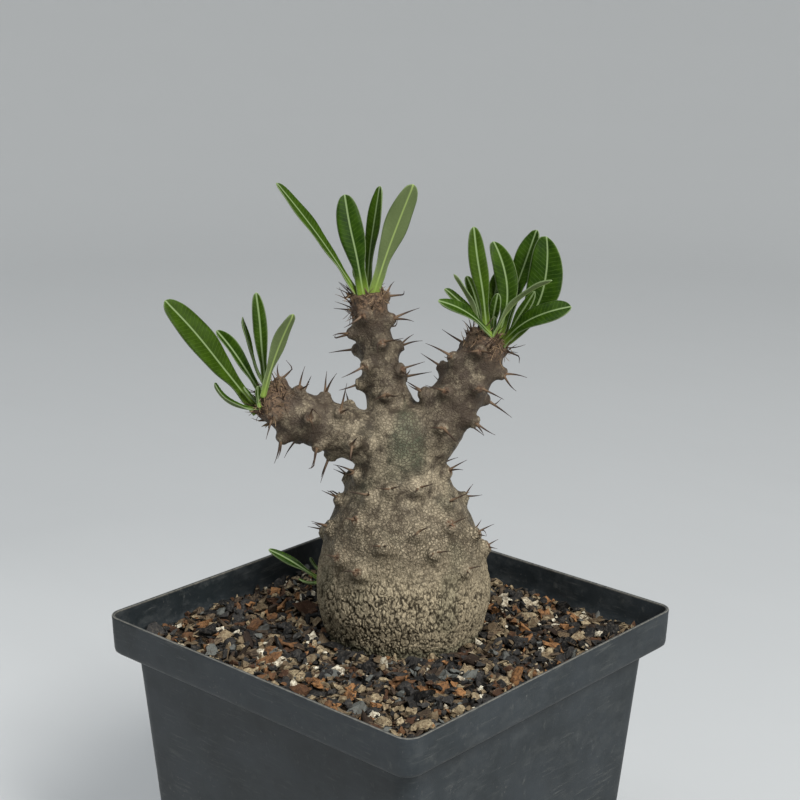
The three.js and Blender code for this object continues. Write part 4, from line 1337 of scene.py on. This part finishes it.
GRAIN_FINISHES = {
    "pumice": pumice_finish(), "fired_clay": clay_finish(), "lava": lava_finish(), "bark_chip": bark_chip_finish(),
}
print("grit finishes:", list(GRAIN_FINISHES))

# %% Scatter the grains
LARGE_GRAIN = 2.2  # millimetres: a larger grain takes one of the finer shapes
FAR_APART = 50  # how far a grain's own coordinates may be moved, so that no two grains share their pores


def kept_inside(points):
    """Presses what a grain would push into the pot's wall or below the grit's bed back to its face."""
    limit = INSIDE + 0.2
    core = np.clip(points[:, :2], WALL_CORNER - limit, limit - WALL_CORNER)
    past = points[:, :2] - core
    far = np.linalg.norm(past, axis=1, keepdims=True)
    points[:, :2] = core + past * np.minimum(1, WALL_CORNER / np.maximum(far, 0.01))
    points[:, 2] = np.maximum(points[:, 2], BED - 0.6)
    return points


def heap(name, parts, slot, replaces=(), crease=38):
    """One piece of many grains. Each is its points, its own coordinates, its faces and its own number."""
    faces, tints, first = [], [], 0
    for points, _, grain_faces, tint in parts:
        faces += [[corner + first for corner in face] for face in grain_faces]
        tints += [tint] * len(points)
        first += len(points)
    points = np.concatenate([part[0] for part in parts])
    if not replaces:
        points = kept_inside(points)
    made = piece(name, points, faces, GRAIN_FINISHES[slot], slot, replaces, crease)
    carry(made, "own", np.concatenate([part[1] for part in parts]), "FLOAT_VECTOR")
    carry(made, "tint", tints)
    print(name, len(parts), "grains,", len(faces), "faces, top", round(float(points[:, 2].max()), 1))


for kind, (_, shape, _, _, slot) in GRAIN_KINDS.items():
    parts = []
    for x, y, z, size in grains[kind]:
        shapes = large[kind] if size > LARGE_GRAIN else small[kind]
        ball, ball_faces = shapes[chance.integers(len(shapes))]
        own = ball * (size * np.array(shape) * chance.uniform(0.85, 1.15, 3))
        points = own @ loose_turn(chance, 0.45).T + (x, y, z)
        parts.append((points, own + chance.uniform(-FAR_APART, FAR_APART, 3), ball_faces, chance.random()))
    heap(kind, parts, slot)

# %% [markdown]
# The larger stones that lie on top have their own packed solids. Each keeps its place and outline: its mesh
# is cut finer, eased, and roughened with noise, and the stones of one kind share a mesh.

# %% Large stones
STONE_KINDS = {
    "pumice_stones": ("pumice_stone_", "pumice"),
    "clay_stones": ("clay_stone_", "fired_clay"),
    "lava_stones": ("lava_stone_", "lava"),
    "bark_stones": ("wood_stone_", "bark_chip"),
}
STONE_CUTS, EASINGS = 6, 3


def roughened(name):
    """A packed stone cut finer, eased and roughened."""
    bm = opened(name)
    bmesh.ops.subdivide_edges(bm, edges=bm.edges, cuts=STONE_CUTS, use_grid_fill=True)
    for _ in range(EASINGS):
        bmesh.ops.smooth_vert(bm, verts=bm.verts, factor=0.5, use_axis_x=True, use_axis_y=True, use_axis_z=True)
    points, faces = closed(bm)
    points = points / MM
    middle = points.mean(0)
    outward = points - middle
    outward /= np.linalg.norm(outward, axis=1, keepdims=True)
    return points + outward * (0.30 * clouds(points, 1.3, 9) + 0.14 * clouds(points, 0.5, 6))[:, None], faces


for name, (prefix, slot) in STONE_KINDS.items():
    members = [stone for stone in named_stones if stone.startswith(prefix)]
    parts = []
    for stone in members:
        points, faces = roughened(stone)
        own = points - points.mean(0) + chance.uniform(-FAR_APART, FAR_APART, 3)
        parts.append((points, own, faces, chance.uniform(0.45, 1)))
    heap(name, parts, slot, members, crease=50)

# %% [markdown]
# ### Potting mix
# Between the grains shows the damp, dark mix itself. The packed block of soil stays, with its own finish, and
# a thin bumpy layer of crumbs covers its flat top.

# %% Potting mix finish
def mix_finish():
    f = Finish("potting_mix", Roughness=0.95, Specular_IOR_Level=0.1)
    at = f.place()
    crumbs = f.cells(at, 1.1, "F1")
    cloud = f.grain(at, 1.8, 5, 0.7)
    base = f.colour(cloud.step(0.3, 0.7), (0.010, 0.008, 0.006), (0.035, 0.024, 0.016))
    base = f.colour(f.grain(at, 0.6, 3).step(0.62, 0.72) * 0.6, base, (0.16, 0.10, 0.055))
    return f.set(Base_Color=base, Normal=f.bump(cloud - crumbs, 0.6, 0.9))


mix = mix_finish()
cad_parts["soil"].data.materials.clear()
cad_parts["soil"].data.materials.append(mix)


print("soil wears", mix.name)


# %% Crumb layer
def crumb_layer():
    """A ring of crumbs between the trunk and the pot's wall, closed underneath."""
    outer = square_ring(INSIDE - 0.1, 2.8)
    rows = 44
    points = []
    angle = np.arctan2(outer[:, 1] - trunk_middle[1], outer[:, 0] - trunk_middle[0])
    inner = trunk_middle + (trunk_radius - 0.6) * np.stack([np.cos(angle), np.sin(angle)], 1)
    for row in range(rows):
        share = row / (rows - 1)
        ring = outer + (inner - outer) * share
        for x, y in ring:
            spot = Vector((x, y, 0))
            points.append((x, y, BED + 0.5 + 0.45 * noise.noise(spot / 3) + 0.35 * noise.noise(spot / 1.1)))
    top = len(points)
    for ring in (inner, outer):
        points += [(x, y, BED - 0.35) for x, y in ring]
    count = len(outer)
    faces = wrapped(rows + 2, count)
    for at in range(count):
        a, b = top + count + at, top + count + (at + 1) % count
        faces.append((a, b, (at + 1) % count, at))
    return points, faces


crumbs = piece("crumb_layer", *crumb_layer(), mix, "soil")
print("crumb layer:", len(crumbs.data.polygons), "faces")

# %% [markdown]
# ## The floor and the light
# The pot stands on a round, pale sheet of cloth. It is flat under the pot and curves up all round it, like the
# inside of a bowl, so that no horizon shows from any side. Its colour carries painted light: it is painted paler
# away from the pot, and paler again at the near left, a painted pool of light that lifts the pot's shadow there.
# The light is a cloudy sky: a soft, even surround, a broad source above and to the right, like a window, which
# is what makes the pot's right side paler than its left, and a wider and weaker one overhead.

# %% Backdrop
BACKDROP_PAINTED_NEAR, BACKDROP_PAINTED_FAR = 0.53, 0.40  # how pale the cloth is painted near the pot, and how much paler it is painted far from it, as painted light
SHEET_SECTORS, SHEET_STEPS = 96, 15
SHEET_FLAT, SHEET_CURVE = 900, 700  # millimetres: how far the sheet lies flat, and the radius that it curves up on
SHEET_END = math.radians(78)  # how steep the sheet is at its edge


def cloth_finish():
    f = Finish("pale_cloth", Roughness=0.9)
    at = f.place()
    weave = f.add("TexWave", {"bands_direction": "Z"}, {"Vector": at, "Scale": 1.2, "Distortion": 0.4})
    crease = f.grain(f.place((0.3, 1, 1)), 60, 3)
    # Painted light: the cloth's colour follows a mark that makes it paler away from the pot and at the near left.
    base = f.colour(f.read("painted_light"), (0.235, 0.250, 0.262), (0.60, 0.615, 0.62))
    base = f.colour(f.grain(at, 140, 3) * 0.12, base, (0.62, 0.64, 0.65))
    return f.set(Base_Color=base, Normal=f.bump(weave * 0.1 + crease, 1.5, 0.4))


def backdrop():
    """A round sheet that lies flat under the pot and curves up all round it, so it is behind the pot in any view."""
    away = np.array([-math.sin(CAMERA_HEADING), math.cos(CAMERA_HEADING)])
    along = np.array([math.cos(CAMERA_HEADING), math.sin(CAMERA_HEADING)])
    profile = [(reach, 0) for reach in (40, 80, 120, 160, 210, 270, 350, 450, 600, 750, SHEET_FLAT)]
    for step in range(1, SHEET_STEPS + 1):
        angle = step / SHEET_STEPS * SHEET_END
        profile.append((SHEET_FLAT + SHEET_CURVE * math.sin(angle), SHEET_CURVE - SHEET_CURVE * math.cos(angle)))
    points, painted_light_values = [], []
    for reach, height in profile:
        for column in range(SHEET_SECTORS):
            angle = column / SHEET_SECTORS * 2 * math.pi
            spot = reach * np.array([math.cos(angle), math.sin(angle)])
            points.append((spot[0], spot[1], height))
            behind, side = spot @ away, spot @ along
            # Painted light: a pale pool at the near left that cancels the pot's shadow there, and paler cloth away
            # from the pot.
            painted_light_left = smoothstep(60, -170, side) * smoothstep(320, 100, behind) * smoothstep(700, 300, reach)
            painted_light_values.append(BACKDROP_PAINTED_NEAR + BACKDROP_PAINTED_FAR * smoothstep(180, 1150, reach) + 0.5 * painted_light_left)
    faces = wrapped(len(profile), SHEET_SECTORS)
    faces.append(list(range(SHEET_SECTORS)))
    mesh = bpy.data.meshes.new("backdrop")
    mesh.from_pydata([Vector(point) * MM for point in points], [], faces)
    mesh.polygons.foreach_set("use_smooth", np.ones(len(faces), bool))
    made = placed("backdrop", mesh)
    made.data.materials.append(cloth_finish())
    carry(made, "painted_light", painted_light_values)
    return made


backdrop()
print("backdrop spread")

# %% Lights
LIGHT_TARGET = Vector((0, 0, 0.1))
SKY_COLOUR, SKY_STRENGTH = (0.93, 0.97, 1.0, 1), 0.22
# Each light: its place and its size across in metres, its watts, and its colour.
SOFTBOXES = {
    "window": ((0.85, -0.15, 0.9), 0.55, 19, (1.0, 0.985, 0.955)),
    "sky": ((-0.2, -0.35, 1.25), 0.9, 9, (0.96, 0.98, 1.0)),
}

world = bpy.data.worlds.new("cloudy sky")
world.use_nodes = True
world.node_tree.nodes["Background"].inputs["Color"].default_value = SKY_COLOUR
world.node_tree.nodes["Background"].inputs["Strength"].default_value = SKY_STRENGTH
bpy.context.scene.world = world
for name, (place, size, watts, colour) in SOFTBOXES.items():
    lamp = bpy.data.lights.new(name, "AREA")
    lamp.shape, lamp.size, lamp.energy, lamp.color = "DISK", size, watts, colour
    made = placed(name, lamp)
    made.location = place
    made.rotation_euler = (LIGHT_TARGET - Vector(place)).to_track_quat("-Z", "Y").to_euler()
print("lights:", list(SOFTBOXES))
